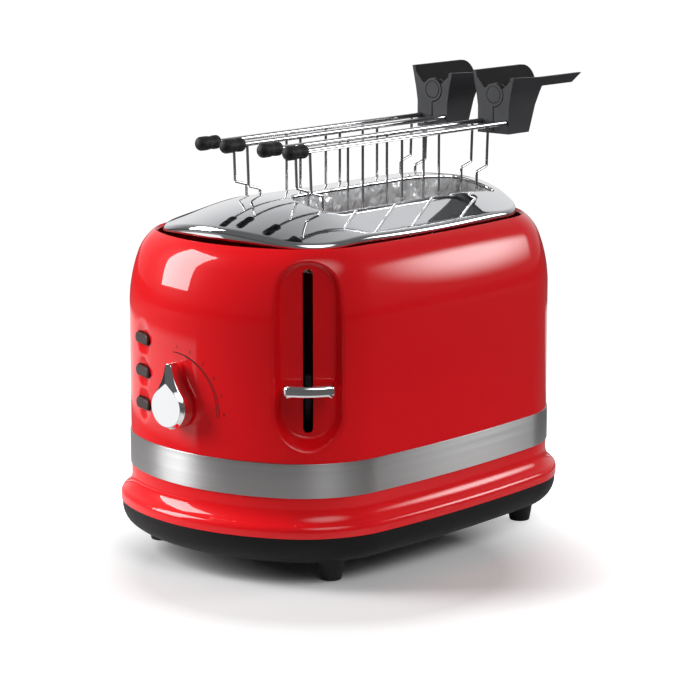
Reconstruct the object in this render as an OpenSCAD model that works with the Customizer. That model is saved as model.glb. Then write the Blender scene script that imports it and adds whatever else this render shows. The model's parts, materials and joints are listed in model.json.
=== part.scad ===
// Two-slot toaster with a painted bulging body, a steel waist band, a domed bright top plate,
// a lever in a corner recess, a browning knob, three push buttons and two sandwich tongs.
// The origin is on the table under the middle of the body. +X runs from the control end to the
// tong handles, +Z is up.

/* [Body] */
// Length of the painted wall
body_len = 258; // [215:1:310]
// Width of the painted wall
body_wid = 176; // [166:1:211]
// Half turn of the two bulging ends
end_turn = 28; // [24:0.5:33]
// Half turn of the two gently bulging long sides
side_bow = 5; // [4:0.5:6]
// Plan radius of the four corners
corner_r = 56; // [47:1:62]
// Thickness of the painted sheet
wall_t = 2; // [1.6:0.1:2.4]

/* [Levels] */
// Height of the feet
foot_h = 12.5; // [10.5:0.5:15]
// Height of the black base between feet and painted skirt
base_h = 16; // [15:0.5:19]
// Painted skirt from the base up to the band
skirt_h = 21.2; // [19:0.1:25]
// Height of the steel band
band_h = 19.2; // [16:0.1:23]
// Height of the straight wall above the band
straight_h = 73; // [61:1:87]
// Rise of the domed top plate over the rim
crown_h = 21.5; // [19:0.5:25]

/* [Skirt and shoulder] */
// Radius of the rolled lip of the skirt
lip_r = 4; // [3.4:0.1:4.8]
// Straight height of the lip
lip_h = 3.5; // [3:0.1:4.2]
// Hollow fillet between lip and wall
lip_fillet = 9.75; // [8.2:0.05:11.7]
// Radius where the wall starts to lean in
shoulder_r = 85; // [71:1:102]
// Tighter radius next to the rim
rim_r = 26; // [22:1:31]
// Lean of the wall at the rim
rim_lean = 58; // [50:1:66]

/* [Top plate] */
// Gap between the painted rim and the plate
plate_gap = 2.8; // [2.4:0.1:3.3]
// Thickness of the plate
plate_t = 1; // [0.9:0.1:1.2]
// Radius of the dome across the slots
dome_across_r = 187; // [160:1:224]
// Radius of the dome along the slots
dome_along_r = 800; // [670:1:960]
// Radius of the rolled edge of the plate
roll_r = 8; // [7:0.5:9]
// Where the slots start, seen from the middle
slot_x0 = -60; // [-64:1:-56]
// Length of a slot
slot_len = 154; // [150:1:160]
// Width of a slot
slot_w = 31; // [30:0.5:34]
// Distance between the middles of the slots
slot_pitch = 47; // [45:0.5:52]
// Depth of the bright slot liners
liner_d = 24; // [20:1:28]

/* [Lever] */
// Plan angle of the lever, from the control end
lever_angle = 44; // [40:1:48]
// Height of the lever handle now
lever_z = 110; // [104:0.5:114]
// Travel of the carriage above this pose
lever_up = 57; // [50:1:57]
// Travel of the carriage below this pose
lever_down = 3; // [2:0.5:3.5]
// Width of the lever handle
lever_w = 28; // [24:1:33]
// Height of the lever handle
lever_h = 6.5; // [5.5:0.5:7.5]
// Width of the slot the lever runs in
lever_slot_w = 5.5; // [5:0.1:6.5]
// Depth of the recess round the slot
recess_d = 10.5; // [9.5:0.5:11.5]
// Half width of the recess floor
recess_r = 15; // [13:0.5:17]

/* [Controls] */
// Place of the knob across the end
knob_y = 7; // [6:0.5:8]
// Height of the knob
knob_z = 95; // [90:0.5:100]
// Radius of the round part of the knob
knob_r = 12.5; // [10.5:0.5:15]
// Reach of the pointer from the knob axis
knob_reach = 24.5; // [21:0.5:29]
// How far the knob stands out from the wall
knob_out = 11; // [10:0.5:13]
// Radius of the knob shaft
shaft_r = 3; // [2.5:0.1:3.6]
// Place of the buttons across the end
button_y = 42.5; // [40:0.5:45]
// Height of the lowest button
button_z = 89.5; // [86:0.5:93]
// Distance between buttons
button_pitch = 18.6; // [16:0.1:22]
// Width of a button
button_w = 16; // [14:0.5:18]
// Height of a button
button_h = 6; // [5:0.5:7.2]
// Travel of a button
button_travel = 1.5; // [1.3:0.1:1.8]

/* [Crumb tray] */
// Width of the crumb tray
tray_w = 100; // [84:1:104]
// Height of the crumb tray
tray_h = 9; // [7.5:0.5:9.5]

/* [Tongs] */
// Height of the tong rods
rod_z = 233; // [228:0.5:240]
// Radius of a rod
rod_r = 1.5; // [1.3:0.1:1.8]
// Radius of a grid wire
wire_r = 0.8; // [0.7:0.05:0.95]
// Distance between the two grids of one tong
grid_gap = 18.8; // [17:0.1:20]
// First wire of the grid on the right
grid_x0 = -62.7; // [-64:0.1:-61]
// Length of a grid between its end wires
grid_len = 155.9; // [150:0.1:156]
// How far the left grid is shifted along the rods
grid_shift = 9; // [7:0.5:9.5]
// Inward step of the end wires above the slot
grid_jog = 10.5; // [9:0.5:12]
// Height of that step over the rim
jog_h = 23.5; // [23:0.5:26]
// Length of a rubber tip
tip_len = 16; // [13:0.5:19]
// Radius of a rubber tip
tip_r = 4; // [3.4:0.1:4.8]
// Height of the handle pivot over the rods
pivot_h = 16; // [14:0.5:18]
// Length of the handle's body along the rods
grip_len = 20; // [17:0.5:24]

/* [Fits] */
// Gap between parts that lie against each other
seat_gap = 0.2; // [0.1:0.05:0.3]
// Gap round parts that move freely
free_gap = 0.5; // [0.4:0.05:0.6]
// Radial play of a shaft in its hole
running_play = 0.06; // [0.03:0.01:0.09]

/* [Hidden] */
$fn = 96;
SIDES = ["near", "far"];
HALVES = ["left", "right"];
BUTTONS = ["cancel_button", "reheat_button", "defrost_button"];

// Plan outline: eight arcs that run into each other without a corner
half_len = body_len / 2;
half_wid = body_wid / 2;
side_turn = 90 - side_bow;
corner_x = (half_len - corner_r - (half_wid - corner_r) * tan(end_turn / 2))
    / (1 - tan(end_turn / 2) * tan(side_bow / 2));
corner_y = half_wid - corner_r - corner_x * tan(side_bow / 2);
end_r = corner_r + corner_y / sin(end_turn);
side_r = corner_r + corner_x / cos(side_turn);
end_cx = half_len - end_r;
side_cy = side_r - half_wid;
corner_turn = side_turn - end_turn;
// Each arc: centre, radius, start angle and sweep, round from the +X end
ARCS = [
    [[end_cx, 0], end_r, -end_turn, 2 * end_turn],
    [[corner_x, corner_y], corner_r, end_turn, corner_turn],
    [[0, -side_cy], side_r, side_turn, 180 - 2 * side_turn],
    [[-corner_x, corner_y], corner_r, 180 - side_turn, corner_turn],
    [[-end_cx, 0], end_r, 180 - end_turn, 2 * end_turn],
    [[-corner_x, -corner_y], corner_r, 180 + end_turn, corner_turn],
    [[0, side_cy], side_r, 180 + side_turn, 180 - 2 * side_turn],
    [[corner_x, -corner_y], corner_r, 360 - side_turn, corner_turn]];
ALL_ARCS = [0 : 7];
REAR_END = [0];
LEVER_CORNER = [4, 5];
ARC_STEPS = 14;

// Points of the outline, moved out by a distance
function outline(out) = [
    for (arc = ARCS)
        for (i = [0 : ARC_STEPS - 1])
            let (turn = arc[2] + arc[3] * i / ARC_STEPS)
                arc[0] + (arc[1] + out) * [cos(turn), sin(turn)]];

// Directions in which one arc of a section runs into the next
FLAT_DIR = [1, 0];
SHOULDER_DIR = [0.936, 0.352];
RIM_DIR = [cos(rim_lean), sin(rim_lean)];
LIP_DIR = [0.5376, 0.8432];
ROLL_DIR = [0.6, 0.8];
BASE_DIR = [0.28, -0.96];

// Heights
base_z = foot_h;
skirt_z = base_z + base_h;
band_z = skirt_z + skirt_h;
shoulder_z = band_z + band_h + straight_h;
shoulder_c = [-shoulder_r, shoulder_z];
rim_c = shoulder_c + (shoulder_r - rim_r) * SHOULDER_DIR;
rim_tip = rim_c + rim_r * RIM_DIR;
rim_z = rim_tip.y;
crown_z = rim_z + crown_h;

// Skirt section
lip_c = [lip_fillet - (lip_r + lip_fillet) * LIP_DIR.x, skirt_z + lip_h];
skirt_out = lip_c.x + lip_r;
fillet_c = lip_c + (lip_r + lip_fillet) * LIP_DIR;
fillet_z = fillet_c.y;
lip_touch = lip_c + lip_r * LIP_DIR;

// Base
base_out = skirt_out - 0.7;
base_t = 2.5;
base_edge_r = 14;
base_edge_c = [base_out - base_edge_r, base_z - base_edge_r * BASE_DIR.y];
base_edge_in = base_edge_c.x + base_edge_r * BASE_DIR.x;
base_floor_z = base_z + base_t;
spigot_h = 3;
spigot_t = 1;
vent_len = 44;
vent_w = 4;
vent_count = 6;
foot_x = half_len - 43.5;
foot_y = half_wid - 22.4;
foot_top_r = 8;
foot_low_r = 6;
screw_r = 1.7;
screw_head_r = 3.4;
screw_head_h = 1.4;
gland_x = 55;
gland_y = half_wid - 22;
gland_r = 5;
gland_bore_r = 3.6;
gland_flange_r = 7.5;
gland_flange_h = 2;
gland_h = 7;

// Top plate
plate_out = rim_tip.x - plate_gap;
plate_rim_z = rim_z - 10;
roll_c = [plate_out - roll_r, rim_z + 2.3];
roll_in = rim_tip.x - 29;
plate_flange_out = rim_tip.x + 5.4;
dome_c_z = crown_z - dome_along_r;
dome_sweep = 40;
slot_x1 = slot_x0 + slot_len;
slot_end_r = 12;
slot_corner_r = 4;
liner_t = 0.8;

// Chassis
sheet_t = 1;
front_x = slot_x0 - 9;
rear_x = slot_x1 + 6;
chassis_wid = body_wid - 52;
chassis_top_z = rim_z - liner_d + 5;
chassis_foot_h = 2;
chassis_foot_l = 14;
chassis_screw_y = chassis_wid / 2 - 5;
card_t = 1;
card_y = slot_pitch / 2 + slot_w / 2 + 11;
card_z = base_floor_z + 47;
ribbon_t = 0.3;
ribbon_w = 2;
ribbon_runs = 9;
guard_r = 0.9;
guard_out = slot_w / 2 + 1.4;
guard_count = 6;
guard_low_z = base_floor_z + 36;

// Carriage and lever
rack_z = lever_z - 32;
rack_t = 2;
rack_h = 10;
rack_shelf_t = 1.2;
rack_shelf_w = grid_gap + 4;
rack_slot_w = rack_t + 3;
bracket_x = front_x - sheet_t - 6;
bracket_t = 2;
bracket_h = 22;
bracket_z = rack_z - rack_h - 6;
bracket_y1 = slot_pitch / 2 + 12;
rod_x = bracket_x - bracket_t - 8;
rod_y = 4;
guide_r = 3;
sleeve_r = 6;
guide_top_z = bracket_z + bracket_h + lever_up + 20;
tab_t = 1.5;
spring_r = 4.6;
spring_wire_r = 0.5;
spring_turns = 14;
latch_y = slot_pitch / 2 + 5;
latch_l = 14;
latch_t = 2;
latch_gap = 0.3;
latch_x = bracket_x - bracket_t - latch_l / 2;
pole_z = bracket_z - lever_down - latch_gap;
coil_r = 8;
core_w = 8;
lever_turn = 180 + lever_angle;
lever_c = [-corner_x, -corner_y];
lever_floor_r = corner_r - recess_d;
recess_flare = 0.48;
recess_low_z = lever_z - 14;
recess_top_z = rim_z - 22.5;
lever_slot_low = lever_z - 24;
lever_slot_top = lever_z + lever_up + 9;
stem_t = 3.5;
stem_reach = corner_r + 4;
lever_in = lever_floor_r + 3;
lever_out = corner_r + 8;
lever_nose_r = 34;

// Controls
board_x = -half_len + 29;
board_t = 1.6;
board_y0 = -6;
board_y1 = button_y + 20;
board_z0 = knob_z - 20;
board_z1 = button_z + 2 * button_pitch + 10;
post_r = 2.5;
post_y = board_y1 - 5;
pot_r = 8;
pot_h = 9;
switch_w = 6;
switch_h = 4;
stalk_r = 1.6;
stalk_h = 2;
shaft_hole_r = shaft_r + free_gap;
knob_wall_x = -end_cx - sqrt(end_r ^ 2 - knob_y ^ 2);
knob_boss_r = 7.5;
knob_boss_h = 1.2;
knob_tip_r = 2.6;
knob_bevel = 1.2;
button_out = 1.8;
button_in_x = board_x - switch_h - stalk_h - button_travel - free_gap;
dish_r = 36;
dish_d = 1.2;
button_angle = asin(button_y / end_r);

// Crumb tray
tray_z = base_floor_z + 1.5;
tray_x0 = front_x + 7;
tray_front_t = 10;
tray_t = 1;

// Tongs
jog_z = rim_z + jog_h;
grid_low_z = rack_z + latch_gap + wire_r;
grid_inner = [0.282, 0.499, 0.71];
bend_r = 2;
rod_x0 = grid_x0 - 21;
grip_x = grid_x0 + grid_len + 17;
rod_x1 = grip_x + 12;
pivot_z = rod_z + pivot_h;
grip_low_z = rod_z - 7;
grip_top_z = pivot_z + 14;
socket_r = rod_r + 0.7;
grip_wing_low = grid_gap / 2 + socket_r + 0.1;
wing_bend = [grip_wing_low + 1.3, pivot_z + 1];
wing_tip = [grip_wing_low + 4.2, grip_top_z];
grip_t = 2.4;
grip_split = 0.6;
front_t = 3.5;
lug_t = 3;
boss_r = 7;
pin_r = 2;
pin_head_r = 5;
pin_head_h = 1;
pin_len = front_t + 4 * lug_t + 6;
tong_spring_r = 3.2;

// Moves children by a rounded step and by the rest of the way, so that no digit of a place is lost
module place(v) {
    coarse = [for (x = v) round(100 * x) / 100];
    translate(coarse)
        translate(v - coarse) children();
}

// Sweeps a section along the plan outline: section x is the distance out from the wall
module around(which = ALL_ARCS) {
    for (i = which)
        let (arc = ARCS[i])
            place([arc[0].x, arc[0].y, 0])
                rotate_extrude(angle = arc[3], start = arc[2], $fn = 288)
                    place([arc[1], 0]) children();
}

// Puts a piece on a curved wall: +Z out of the wall, +Y up, +X to the right seen from outside
module on_wall(c, turn, r, z) {
    translate([c.x, c.y, z])
        rotate([0, 0, turn])
            translate([r, 0, 0])
                rotate([90, 0, 90]) children();
}

// Wedge of the plane between two directions less than half a turn apart
module wedge(from, to, reach) {
    polygon([[0, 0], reach * from, reach * (from + to), reach * to]);
}

// Curved strip of a ring, as thick as t, inside radius r
module arc_strip(c, r, t, from, to) {
    translate(c)
        intersection() {
            difference() {
                circle(r);
                circle(r - t);
            }
            wedge(from, to, 2 * r);
        }
}

// Box with corners given as low and high points
module block(low, high) {
    translate(low) cube(high - low);
}

// Section of wall and shoulder, set in by a distance, with a thickness
module wall_section(inset, t, low_z) {
    translate([-inset - t, low_z]) square([t, shoulder_z - low_z]);
    arc_strip(shoulder_c, shoulder_r - inset, t, FLAT_DIR, SHOULDER_DIR);
    arc_strip(rim_c, rim_r - inset, t, SHOULDER_DIR, RIM_DIR);
}

// Section of the flared skirt with its rolled lip
module skirt_section() {
    difference() {
        union() {
            polygon([[-2 * wall_t, skirt_z], [skirt_out, skirt_z], [skirt_out, lip_c.y], lip_c,
                lip_touch, fillet_c, [0, fillet_z], [-2 * wall_t, fillet_z]]);
            translate(lip_c)
                intersection() {
                    circle(lip_r);
                    wedge(FLAT_DIR, LIP_DIR, 2 * lip_r);
                }
        }
        translate(fillet_c) circle(lip_fillet);
        polygon([[-3 * wall_t, skirt_z - 1], [skirt_out - wall_t, skirt_z - 1],
            [skirt_out - wall_t, lip_c.y], [-wall_t, fillet_z - 2 * wall_t], [-wall_t, fillet_z + 1],
            [-3 * wall_t, fillet_z + 1]]);
    }
}

// Upright stadium that flares outward: floor radius, length between centres, depth
module flared_stadium(r, span, depth) {
    out_r = r + recess_flare * depth;
    for (end = [0, 1])
        translate([0, end * span, 0])
            rotate([0, 0, 180 - 180 * end])
                rotate_extrude(angle = 180)
                    polygon([[0, 0], [r, 0], [out_r, depth], [0, depth]]);
    translate([0, span, 0])
        rotate([90, 0, 0])
            linear_extrude(span)
                polygon([[-r, 0], [r, 0], [out_r, depth], [-out_r, depth]]);
}

// Flat stadium, drawn upright between two heights
module stadium(r, low, high) {
    for (end = [0, 1])
        translate([0, end == 0 ? low : high])
            intersection() {
                circle(r);
                translate([-2 * r, end == 0 ? -2 * r : 0]) square([4 * r, 2 * r]);
            }
    translate([-r, low]) square([2 * r, high - low]);
}

// Form of the lever recess, grown on its floor and sides
module recess_form(grow) {
    on_wall(lever_c, lever_turn, lever_floor_r - grow, recess_low_z)
        flared_stadium(recess_r + grow * (1 - recess_flare), recess_top_z - recess_low_z, 3 * recess_d);
}

module outer_shell() {
    color("red")
        difference() {
            union() {
                around() {
                    wall_section(0, wall_t, fillet_z);
                    skirt_section();
                }
                intersection() {
                    recess_form(wall_t);
                    around(LEVER_CORNER) wall_section(wall_t / 2, recess_d + 2 * wall_t, band_z);
                }
            }
            recess_form(0);
            on_wall(lever_c, lever_turn, lever_floor_r - 2 * wall_t, 0)
                linear_extrude(4 * wall_t)
                    stadium(lever_slot_w / 2, lever_slot_low + lever_slot_w / 2,
                        lever_slot_top - lever_slot_w / 2);
            translate([knob_wall_x - 1, knob_y, knob_z])
                rotate([0, 90, 0]) cylinder(h = 3 * wall_t, r = shaft_hole_r);
            for (i = [0 : 2])
                translate([0, 0, button_z + i * button_pitch]) {
                    button_prism(free_gap, -2 * half_len, board_x);
                    on_wall([-end_cx, 0], 180 - button_angle, end_r + dish_r - dish_d, 0)
                        sphere(dish_r);
                }
        }
}

module trim_band() {
    color("silver")
        around()
            translate([seat_gap / 4, band_z]) square([0.6, band_h]);
}

// Base shell section: rolled lower edge, rim under the skirt and a spigot inside it
module base_section() {
    inner = base_out - base_t;
    arc_strip(base_edge_c, base_edge_r, base_t, BASE_DIR, FLAT_DIR);
    translate([inner, base_edge_c.y]) square([base_t, skirt_z - seat_gap - base_edge_c.y]);
    translate([inner, base_edge_c.y])
        square([spigot_t, skirt_z + spigot_h - base_edge_c.y]);
    translate([base_edge_in - 6, base_z]) square([6, base_t]);
}

module tray_window(gap) {
    block([rear_x + 8, -tray_w / 2 - gap, tray_z - gap],
        [2 * half_len, tray_w / 2 + gap, tray_z + tray_h + gap]);
}

module base_screw_places() {
    for (x = [front_x, rear_x + sheet_t])
        for (y = [-chassis_screw_y, chassis_screw_y])
            translate([x - chassis_foot_l / 2, y, base_z]) children();
}

module base_pan() {
    color("#222222")
        difference() {
            union() {
                around() base_section();
                translate([0, 0, base_z])
                    linear_extrude(base_t) polygon(outline(base_edge_in - 4));
            }
            tray_window(free_gap);
            for (i = [0 : vent_count - 1], row = [-1, 1])
                translate([(i - (vent_count - 1) / 2) * 5 * vent_w + (slot_x0 + slot_x1) / 2,
                        row * (vent_len / 2 + 4), base_z - 1])
                    linear_extrude(2 * base_t)
                        stadium(vent_w / 2, -vent_len / 2 + vent_w, vent_len / 2 - vent_w);
            base_screw_places() {
                translate([0, 0, -1]) cylinder(h = 2 * base_t, r = screw_r + seat_gap);
                translate([0, 0, -1]) cylinder(h = 1 + screw_head_h, r = screw_head_r + seat_gap);
            }
            translate([gland_x, gland_y, base_z - 1])
                cylinder(h = 2 * base_t, r = gland_r + seat_gap / 2);
        }
}

module feet() {
    color("#181818")
        for (x = [-foot_x, foot_x], y = [-foot_y, foot_y])
            translate([x, y, 0]) cylinder(h = foot_h, r1 = foot_low_r, r2 = foot_top_r);
}

module base_screws() {
    color("gray")
        base_screw_places() {
            cylinder(h = screw_head_h - seat_gap, r = screw_head_r);
            cylinder(h = base_t + chassis_foot_h + 4, r = screw_r);
        }
}

module cord_gland() {
    color("#202020")
        translate([gland_x, gland_y, base_z])
            difference() {
                union() {
                    translate([0, 0, -gland_flange_h]) cylinder(h = gland_flange_h, r = gland_flange_r);
                    cylinder(h = gland_h, r = gland_r);
                }
                translate([0, 0, -gland_flange_h - 1])
                    cylinder(h = gland_h + gland_flange_h + 2, r = gland_bore_r);
            }
}

// Tray of bent sheet whose outer end fills the window in the base
module crumb_tray() {
    color("#2a2a2a") {
        intersection() {
            difference() {
                block([tray_x0, -tray_w / 2, tray_z], [half_len, tray_w / 2, tray_z + tray_h - 2]);
                block([tray_x0 + tray_t, tray_t - tray_w / 2, tray_z + tray_t],
                    [half_len + 1, tray_w / 2 - tray_t, tray_z + tray_h]);
            }
            translate([end_cx, 0, 0]) cylinder(h = rim_z, r = end_r - 2, $fn = 288);
        }
        intersection() {
            around(REAR_END) {
                arc_strip(base_edge_c, base_edge_r, tray_front_t, [0, -1], FLAT_DIR);
                translate([base_out - tray_front_t, base_edge_c.y]) square([tray_front_t, base_h]);
            }
            tray_window(0);
        }
    }
}

// Solid under a dome that curves gently along X and more across
module under_dome(drop) {
    translate([0, 0, dome_c_z])
        rotate([90, 0, 0])
            rotate([0, 0, 90 - dome_sweep / 2])
                rotate_extrude(angle = dome_sweep, $fn = 360)
                    translate([dome_along_r - dome_across_r, 0])
                        intersection() {
                            circle(dome_across_r - drop, $fn = 240);
                            translate([0, -dome_across_r]) square([dome_across_r, 2 * dome_across_r]);
                        }
}

// Filled section of the plate's rolled edge, thinner by an inset
module roll_section(inset) {
    r = roll_r - inset;
    tip = roll_c + r * ROLL_DIR;
    top = tip + 3 * roll_r * [-ROLL_DIR.y, ROLL_DIR.x];
    translate([roll_in, plate_rim_z]) square([roll_c.x + r - roll_in, roll_c.y - plate_rim_z]);
    translate(roll_c)
        intersection() {
            circle(r);
            wedge(FLAT_DIR, ROLL_DIR, 2 * r);
        }
    polygon([roll_c, tip, top, [roll_in, top.y], [roll_in, roll_c.y]]);
}

// Filled form of the top plate: a dome whose edge rolls down all round
module lid(inset) {
    intersection() {
        under_dome(inset);
        union() {
            around() roll_section(inset);
            translate([0, 0, plate_rim_z])
                linear_extrude(2 * crown_h + 10) polygon(outline(roll_in + 1));
        }
    }
}

// Quarter disc with its right angle at the origin
module quarter(r, turn) {
    intersection() {
        circle(r);
        rotate(turn) square(2 * r);
    }
}

// Plan of a slot about its middle line, grown by a distance: round at the control end
module slot_plan(grow) {
    low_r = slot_end_r + grow;
    high_r = slot_corner_r + grow;
    x0 = slot_x0 - grow;
    x1 = slot_x1 + grow;
    y = slot_w / 2 + grow;
    translate([x0 + low_r, -y]) square([x1 - x0 - low_r - high_r, 2 * y]);
    translate([x0, low_r - y]) square([low_r, 2 * (y - low_r)]);
    translate([x1 - high_r, high_r - y]) square([high_r, 2 * (y - high_r)]);
    translate([x0 + low_r, y - low_r]) quarter(low_r, 90);
    translate([x0 + low_r, low_r - y]) quarter(low_r, 180);
    translate([x1 - high_r, y - high_r]) quarter(high_r, 0);
    translate([x1 - high_r, high_r - y]) quarter(high_r, 270);
}

function slot_y(side) = side == "near" ? -slot_pitch / 2 : slot_pitch / 2;

module top_plate() {
    color("gainsboro")
        difference() {
            union() {
                difference() {
                    lid(0);
                    lid(plate_t);
                }
                around()
                    translate([plate_out - plate_t, plate_rim_z])
                        square([plate_flange_out - plate_out + plate_t, plate_t]);
            }
            for (side = SIDES)
                translate([0, slot_y(side), plate_rim_z])
                    linear_extrude(2 * crown_h + 10) slot_plan(liner_t + seat_gap / 2);
            recess_form(2 * wall_t);
        }
}

module slot_liner(side) {
    color("gainsboro")
        intersection() {
            translate([0, slot_y(side), crown_z - liner_d])
                linear_extrude(2 * liner_d)
                    difference() {
                        slot_plan(liner_t);
                        slot_plan(0);
                    }
            lid(0);
        }
}

// Sheet across the body that carries cards, guards and rails, on two screwed feet
module end_plate(x) {
    half = chassis_wid / 2;
    block([x, -half, base_floor_z], [x + sheet_t, half, chassis_top_z]);
    for (y = [-chassis_screw_y, chassis_screw_y])
        translate([x + sheet_t - chassis_foot_l / 2, y, base_floor_z])
            difference() {
                block([-chassis_foot_l / 2, -5, 0], [chassis_foot_l / 2, 5, chassis_foot_h]);
                translate([0, 0, -1]) cylinder(h = 2 * chassis_foot_h, r = screw_r + seat_gap / 2);
            }
}

// Upright slots in an end plate for the two bread racks
module rack_slots(x) {
    for (side = SIDES)
        block([x - 1, slot_y(side) - rack_slot_w / 2, rack_z - rack_h - lever_down - 3],
            [x + sheet_t + 1, slot_y(side) + rack_slot_w / 2, rack_z + lever_up + 3]);
}

module front_end_plate() {
    color("lightgray")
        difference() {
            union() {
                end_plate(front_x - sheet_t);
                block([rod_x - 8, rod_y - 8, guide_top_z - tab_t],
                    [front_x, rod_y + 8, guide_top_z]);
            }
            rack_slots(front_x - sheet_t);
            translate([rod_x, rod_y, guide_top_z - 2 * tab_t])
                cylinder(h = 3 * tab_t, r = guide_r + running_play);
        }
}

module rear_end_plate() {
    color("lightgray")
        difference() {
            end_plate(rear_x);
            rack_slots(rear_x);
            block([rear_x - 1, -tray_w / 2 - 2, base_floor_z - 1],
                [rear_x + sheet_t + 1, tray_w / 2 + 2, tray_z + tray_h + 2]);
        }
}

// Mica card held between the end plates
module heater_card(y) {
    color("khaki")
        block([front_x + seat_gap, y - card_t / 2, card_z],
            [rear_x - seat_gap, y + card_t / 2, chassis_top_z - 2]);
}

// Flat ribbon that runs to and fro over one face of a card
module heater_ribbon(y, face) {
    x0 = front_x + 10;
    x1 = rear_x - 10;
    step = (chassis_top_z - card_z - 16) / (ribbon_runs - 1);
    low = y + face * card_t / 2 + (face < 0 ? -ribbon_t : 0);
    color("tan")
        translate([0, low + ribbon_t, card_z + 6])
            rotate([90, 0, 0])
                linear_extrude(ribbon_t) {
                    for (i = [0 : ribbon_runs - 1])
                        translate([x0, i * step]) square([x1 - x0, ribbon_w]);
                    for (i = [0 : ribbon_runs - 2])
                        translate([i % 2 == 0 ? x1 - ribbon_w : x0, i * step])
                            square([ribbon_w, step + ribbon_w]);
                }
}

// Wire fence on each side of each slot that keeps bread off the heaters
module bread_guards() {
    x0 = front_x + seat_gap;
    x1 = rear_x - seat_gap;
    top_z = chassis_top_z - 4;
    step = (x1 - x0 - 20) / (guard_count - 1);
    color("silver")
        for (side = SIDES, out = [-guard_out, guard_out])
            translate([0, slot_y(side) + out, 0]) {
                for (z = [guard_low_z, top_z])
                    translate([x0, 0, z])
                        rotate([0, 90, 0]) cylinder(h = x1 - x0, r = guard_r);
                for (i = [0 : guard_count - 1])
                    translate([x0 + 10 + i * step, 0, guard_low_z])
                        cylinder(h = top_z - guard_low_z, r = guard_r * 0.9);
            }
}

module guide_rod() {
    color("silver")
        translate([rod_x, rod_y, base_floor_z])
            cylinder(h = guide_top_z + 3 - base_floor_z, r = guide_r);
}

// Round wire wound into a helix: one closed tube with square-cut ends
module helix(r, wire, low, high, turns) {
    ring_steps = 12;
    sides = 6;
    rings = turns * ring_steps;
    pitch = (high - low - 2 * wire) / turns;
    slope = atan2(pitch, 360 * r * PI / 180);
    points = [
        for (i = [0 : rings])
            let (turn = 360 * i / ring_steps, z = low + wire + pitch * i / ring_steps)
                for (k = [0 : sides - 1])
                    let (a = 360 * k / sides, out = r + wire * cos(a), up = wire * sin(a))
                        [out * cos(turn) + up * sin(slope) * sin(turn),
                            out * sin(turn) - up * sin(slope) * cos(turn), z + up * cos(slope)]];
    walls = [
        for (i = [0 : rings - 1], k = [0 : sides - 1])
            let (a = i * sides + k, b = i * sides + (k + 1) % sides)
                each [[a, a + sides, b + sides], [a, b + sides, b]]];
    ends = [
        for (k = [1 : sides - 2])
            each [[0, k, k + 1], [rings * sides, rings * sides + k + 1, rings * sides + k]]];
    echo(helix_least_gap = pitch * cos(slope) - 2 * wire);
    polyhedron(points, concat(walls, ends));
}

module lift_spring() {
    color("silver")
        translate([rod_x, rod_y, 0])
            helix(spring_r, spring_wire_r, bracket_z + bracket_h + seat_gap,
                guide_top_z - tab_t - seat_gap, spring_turns);
}

// Sheet bracket that joins both racks, the stem and the guide sleeve
module carriage_bracket() {
    stem_y = lever_c.y + (lever_c.x - bracket_x) * tan(lever_turn - 180) * -1;
    color("lightsteelblue")
        difference() {
            union() {
                block([bracket_x - bracket_t, stem_y - 4, bracket_z],
                    [bracket_x, bracket_y1, bracket_z + bracket_h]);
                translate([rod_x, rod_y, bracket_z]) cylinder(h = bracket_h, r = sleeve_r);
                block([rod_x, rod_y - 3, bracket_z], [bracket_x, rod_y + 3, bracket_z + bracket_h]);
            }
            translate([rod_x, rod_y, bracket_z - 1])
                cylinder(h = bracket_h + 2, r = guide_r + running_play);
        }
}

// Plate on edge from the bracket out through the slot
module lever_stem() {
    reach = lever_c.x - bracket_x + bracket_t + seat_gap + stem_t / 2 * sin(lever_angle);
    inner = reach / cos(lever_angle);
    color("dimgray")
        on_wall(lever_c, lever_turn, 0, 0)
            translate([stem_t / 2, 0, 0])
                rotate([0, -90, 0])
                    linear_extrude(stem_t)
                        polygon([[inner, bracket_z], [inner + 10, bracket_z],
                            [lever_floor_r - 6, lever_z - 12], [lever_floor_r + 2, lever_z - 12],
                            [lever_floor_r + 2, lever_z - 2], [stem_reach, lever_z - 2],
                            [stem_reach, lever_z + 2], [lever_floor_r + 2, lever_z + 2],
                            [lever_floor_r + 2, lever_z + 6], [lever_floor_r - 6, lever_z + 6],
                            [inner, bracket_z + bracket_h]]);
}

// Bright bar with a bowed nose; the stem end sits in a pocket at its back
module lever_handle() {
    color("gainsboro")
        difference() {
            translate([lever_c.x, lever_c.y, lever_z - lever_h / 2])
                rotate([0, 0, lever_turn])
                    linear_extrude(lever_h)
                        intersection() {
                            translate([lever_in, -lever_w / 2]) square([lever_out, lever_w]);
                            translate([lever_out - lever_nose_r, 0]) circle(lever_nose_r);
                        }
            translate([lever_c.x, lever_c.y, lever_z])
                rotate([0, 0, lever_turn])
                    block([0, -stem_t / 2 - seat_gap / 2, -2 - seat_gap / 2],
                        [stem_reach + seat_gap, stem_t / 2 + seat_gap / 2, 2 + seat_gap / 2]);
        }
}

// Rail on edge with a flat shelf that lifts the bread
module bread_rack(side) {
    y = slot_y(side);
    color("lightsteelblue") {
        block([bracket_x, y - rack_t / 2, rack_z - rack_h],
            [rear_x + sheet_t + 3, y + rack_t / 2, rack_z - rack_shelf_t]);
        block([slot_x0 + 2, y - rack_shelf_w / 2, rack_z - rack_shelf_t],
            [slot_x1 - 2, y + rack_shelf_w / 2, rack_z]);
    }
}

module latch_plate() {
    color("gray")
        block([latch_x - latch_l / 2, latch_y - latch_l / 2, bracket_z],
            [latch_x + latch_l / 2, latch_y + latch_l / 2, bracket_z + latch_t]);
}

module magnet_core() {
    color("gray")
        translate([latch_x, latch_y, 0])
            block([-core_w / 2, -core_w / 2, base_floor_z], [core_w / 2, core_w / 2, pole_z]);
}

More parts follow.
